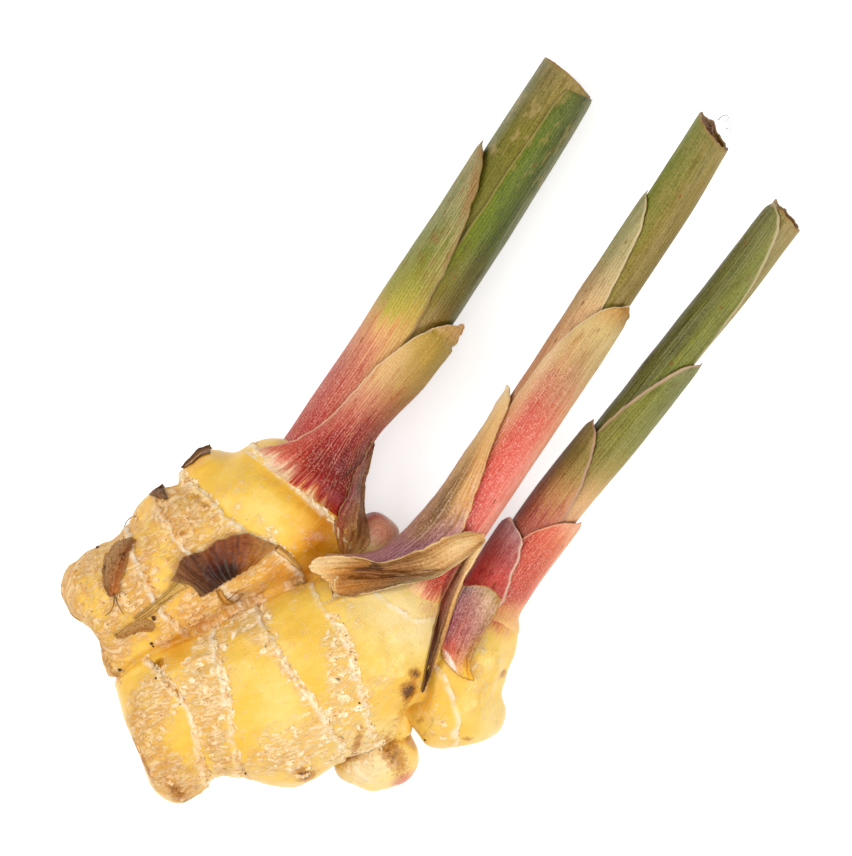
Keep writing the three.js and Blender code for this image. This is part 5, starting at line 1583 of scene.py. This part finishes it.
def loose_skin_paint():
    """Dry skin that has lifted: thin, pale and matt, and darker on the oldest finger."""
    paint = Paint("lifted_papery_skin")
    where = paint.position()
    fine = paint.noise(where, 0.4, 3.0, 0.65)
    tone = paint.math(
        "MULTIPLY_ADD", paint.noise(where, 1.8, 4.0, 0.65), 0.7, paint.math("MULTIPLY", fine, 0.3),
    )
    colour = paint.ramp(tone, [(0.4, "e0ac68"), (0.46, "f2cc92"), (0.52, "fae0b2"), (0.6, "fdeccc")])
    colour = paint.mix(paint.math("MULTIPLY", paint.attribute("age"), 0.7), colour, "ecd0a8", "MULTIPLY")
    height = paint.math("MULTIPLY", fine, 0.03)
    return paint.finish(colour, 0.75, height, "080808", Specular_IOR_Level=0.12)


def loose_skin(name, places, length, width, lift, seed, material):
    """Flaps of skin at some of the rhizome's vertices, each free at its upper end, which stands lift off."""
    random = np.random.default_rng(seed)
    down, across = np.meshgrid(np.linspace(0, 1, 5), np.linspace(-0.5, 0.5, 5), indexing="ij")
    parts = []
    ages = []
    for place in places:
        normal, turn = slopes[place], random.normal(0, 0.4)
        way = up_fingers[owner[place]] - normal * (up_fingers[owner[place]] @ normal)
        way = way / np.linalg.norm(way)
        side = np.cross(normal, way)
        way, side = way * math.cos(turn) + side * math.sin(turn), side * math.cos(turn) - way * math.sin(turn)
        far = (down - 0.3) * length * random.uniform(0.4, 1.7) * (1 - 0.6 * random.random(5) * down)
        wide = across * width * random.uniform(0.4, 1.7) * (1 - 0.5 * (2 * down - 1) ** 2)
        wide = wide * random.uniform(0.5, 1.4, (5, 1)) + 0.2 * width * random.uniform(-1, 1, (5, 1))
        sheet = points[place] + far[..., None] * way + wide[..., None] * side
        off = 0.02 + lift * random.uniform(0.3, 1.4) * down**1.5 * (1 + 0.5 * np.sin(across * 9 + turn * 9))
        outer, inner = np.empty_like(sheet), np.empty_like(sheet)
        for i, j in np.ndindex(down.shape):
            hit, facing = ground.find_nearest(Vector(sheet[i, j]))[:2]
            outer[i, j] = hit + facing * off[i, j]
            inner[i, j] = hit + facing * (off[i, j] - 0.12)
        parts.append((np.concatenate([outer, inner[:, ::-1]], 1), True))
        ages.append(np.full(2 * down.size, age[place]))
    numbers = {"age": np.concatenate(ages)}
    return new_piece(name, parts, numbers, "rhizome", material)


at_ring = uncovered & (np.abs(ring) < 0.5) & (noise(points, 6.0, 71) > -0.2) & (owner < 2)
lifted = loose_skin_paint()
loose_skin("ring_edges", spread_out(at_ring, 1.8, 72), 1.2, 2.2, 0.12, 73, lifted)
peeling = uncovered & (skin > 0.3) & (noise(points, 5.0, 74) + skin > 0.35)
loose_skin("skin_flakes", spread_out(peeling, 3.4, 75), 1.8, 1.1, 0.07, 76, lifted)


BESIDE = 8  # how high a fibre hangs where it reaches out beside the rhizome


def thread(path, thick):
    """A round fibre along a path, thinner towards its end. Heights over the rhizome are given below 5 mm."""
    path = np.array(path, float)
    for point in path:
        if point[2] < 5:
            height = height_at(ground, point[0], point[1])
            point[2] += BESIDE if height is None else height
    for _ in range(3):
        cut = [0.75 * path[:-1] + 0.25 * path[1:], 0.25 * path[:-1] + 0.75 * path[1:]]
        path = np.concatenate([path[:1], np.stack(cut, 1).reshape(-1, 3), path[-1:]])
    ahead = np.gradient(path, axis=0)
    side = np.cross(ahead, (0, 0, 1))
    side = side / np.linalg.norm(side, axis=1, keepdims=True)
    over = np.cross(side, ahead)
    over = over / np.linalg.norm(over, axis=1, keepdims=True)
    turn = np.linspace(0, 2 * math.pi, 6, endpoint=False)[:, None]
    size = thick * np.linspace(1, 0.5, len(path))[:, None, None]
    return path[:, None] + size * (np.cos(turn) * side[:, None] + np.sin(turn) * over[:, None]), True


THREADS = [
    ([(-46, -50.4, 0.4), (-47.4, -52.2, 0.6), (-47.3, -54.4, 0.5), (-45.4, -56, 0.5)], 0.14),
    ([(-39.8, -67.4, 0.6), (-38.3, -69.4, 0.8), (-37.9, -71.4, 0.8), (-38.6, -73.2, 0.4)], 0.16),
    ([(-39, -68, 0.6), (-37.4, -69.2, 0.9), (-35, -70.4, 0.4)], 0.13),
    ([(-17.4, -55, 0.6), (-16.7, -53.4, 1.2), (-16.2, -51.4, 0.8)], 0.14),
    ([(-28, -59, 0.4), (-29, -63, 0.8), (-30.6, -66.6, 0.8), (-31.6, -71, 0.4)], 0.12),
    (
        [(15, 101.6, 30.2), (15.3, 103, 30.6), (16.2, 103.9, 30.8), (17, 103.2, 30.9), (16.6, 102.2, 30.8)],
        0.12,
    ),
    ([(17.6, 100.8, 30), (18.4, 102, 30.4), (18.9, 101.2, 30.6)], 0.1),
]
GRAINS = [
    (-28.8, -67.2, 0.55), (-26, -72.6, 0.4), (-25.4, -72.9, 0.3), (-28.8, -82, 0.4), (-49.3, -61.6, 0.4),
    (-20.6, -78.4, 0.3), (9, -85.4, 0.3), (39.6, -56, 0.3), (21.6, -56.4, 0.25),
]
parts = [thread(path, thick) for path, thick in THREADS]
turn, rise = np.linspace(0, 2 * math.pi, 9, endpoint=False), np.linspace(-1.5, 1.5, 6)[:, None]
lump = np.stack(
    np.broadcast_arrays(np.cos(turn) * np.cos(rise), np.sin(turn) * np.cos(rise), np.sin(rise)), -1,
)
for x, y, size in GRAINS:
    uneven = size * (1 + 0.35 * noise(lump * 1.3 + (x, y, 0), 1.0, 77))[..., None]
    parts.append((lump * uneven + (x, y, height_at(ground, x, y) + 0.4 * size), True))
count = sum(grid[..., 0].size for grid, wraps in parts)
lengths = np.concatenate(
    [np.broadcast_to(np.arange(len(grid))[:, None] / 4, grid.shape[:2]).ravel() for grid, _ in parts]
)
new_piece(
    "threads_and_soil", parts,
    {
        "rib": lengths * 0.3, "along": lengths, "side": np.zeros(count), "edge": np.full(count, 9.0),
        "shade": np.zeros(count),
    },
    "rhizome",
    leaf_paint(
        "thread_and_soil_brown", [(0, [(0, "6a4424"), (6, "94683a")])], ("b08c58", 0.3), rough=0.8,
        haze="121212",
    ),
)

# ---- The table, the lamps and the camera ----
# The plant lies on a white table, under broad soft lamps, and is seen from straight above.
# One lamp stands at its lower right, one at its left and one overhead, so that its shadows stay faint.
TABLE_GLOW = 0.56  # the table's own light where it is looked at, which keeps it near white
ROOM_LIGHT = 0.26
bpy.ops.mesh.primitive_plane_add(size=3.0)
table = bpy.context.object
table.name = "white_table"
table_paint = Paint("white_table")
seen = table_paint.node("LightPath")
direct = table_paint.math("MAXIMUM", seen.outputs["Is Camera Ray"], seen.outputs["Is Glossy Ray"])
direct = table_paint.math("MAXIMUM", direct, seen.outputs["Is Transmission Ray"])
table_paint.shader.inputs["Base Color"].default_value = linear("f4f4f4")
table_paint.shader.inputs["Roughness"].default_value = 0.9
table_paint.shader.inputs["Emission Color"].default_value = (1, 1, 1, 1)
glow = table_paint.math("MULTIPLY", direct, TABLE_GLOW)
table_paint.plug(glow, table_paint.shader.inputs["Emission Strength"])
table.data.materials.append(table_paint.material)

VIEW_TURN = math.radians(34)  # how far the view is turned, so that the shoots point up and to the right
CAMERA_HEIGHT = 1.1
RIGHT = Vector((math.cos(VIEW_TURN), math.sin(VIEW_TURN), 0))
UP = Vector((-math.sin(VIEW_TURN), math.cos(VIEW_TURN), 0))
AIM = Vector((-1.118, 4.755, 15)) * MM
for name, right, up, high, size, power in (
    ("key_lamp", 0.85, -0.65, 0.9, 0.6, 10.0),
    ("fill_lamp", -0.9, 0.1, 0.9, 0.8, 9.5),
    ("top_lamp", 0.1, -0.1, 1.6, 1.4, 8.0),
):
    lamp = bpy.data.lights.new(name, "AREA")
    lamp.size = size
    lamp.energy = power
    lit = bpy.data.objects.new(name, lamp)
    lit.location = AIM + RIGHT * right + UP * up + Vector((0, 0, high))
    lit.rotation_euler = (AIM - lit.location).to_track_quat("-Z", "Y").to_euler()
    bpy.context.scene.collection.objects.link(lit)

world = bpy.data.worlds.new("soft_room")
world.use_nodes = True
world.node_tree.nodes["Background"].inputs["Color"].default_value = (1, 1, 1, 1)
world.node_tree.nodes["Background"].inputs["Strength"].default_value = ROOM_LIGHT
bpy.context.scene.world = world

camera = bpy.data.cameras.new("camera")
camera.sensor_width = 36
camera.lens = 197
overhead = bpy.data.objects.new("camera", camera)
overhead.location = AIM + Vector((0, 0, CAMERA_HEIGHT))
overhead.rotation_euler = (0, 0, VIEW_TURN)
bpy.context.scene.collection.objects.link(overhead)
bpy.context.scene.camera = overhead
bpy.context.scene.view_settings.view_transform = "Standard"
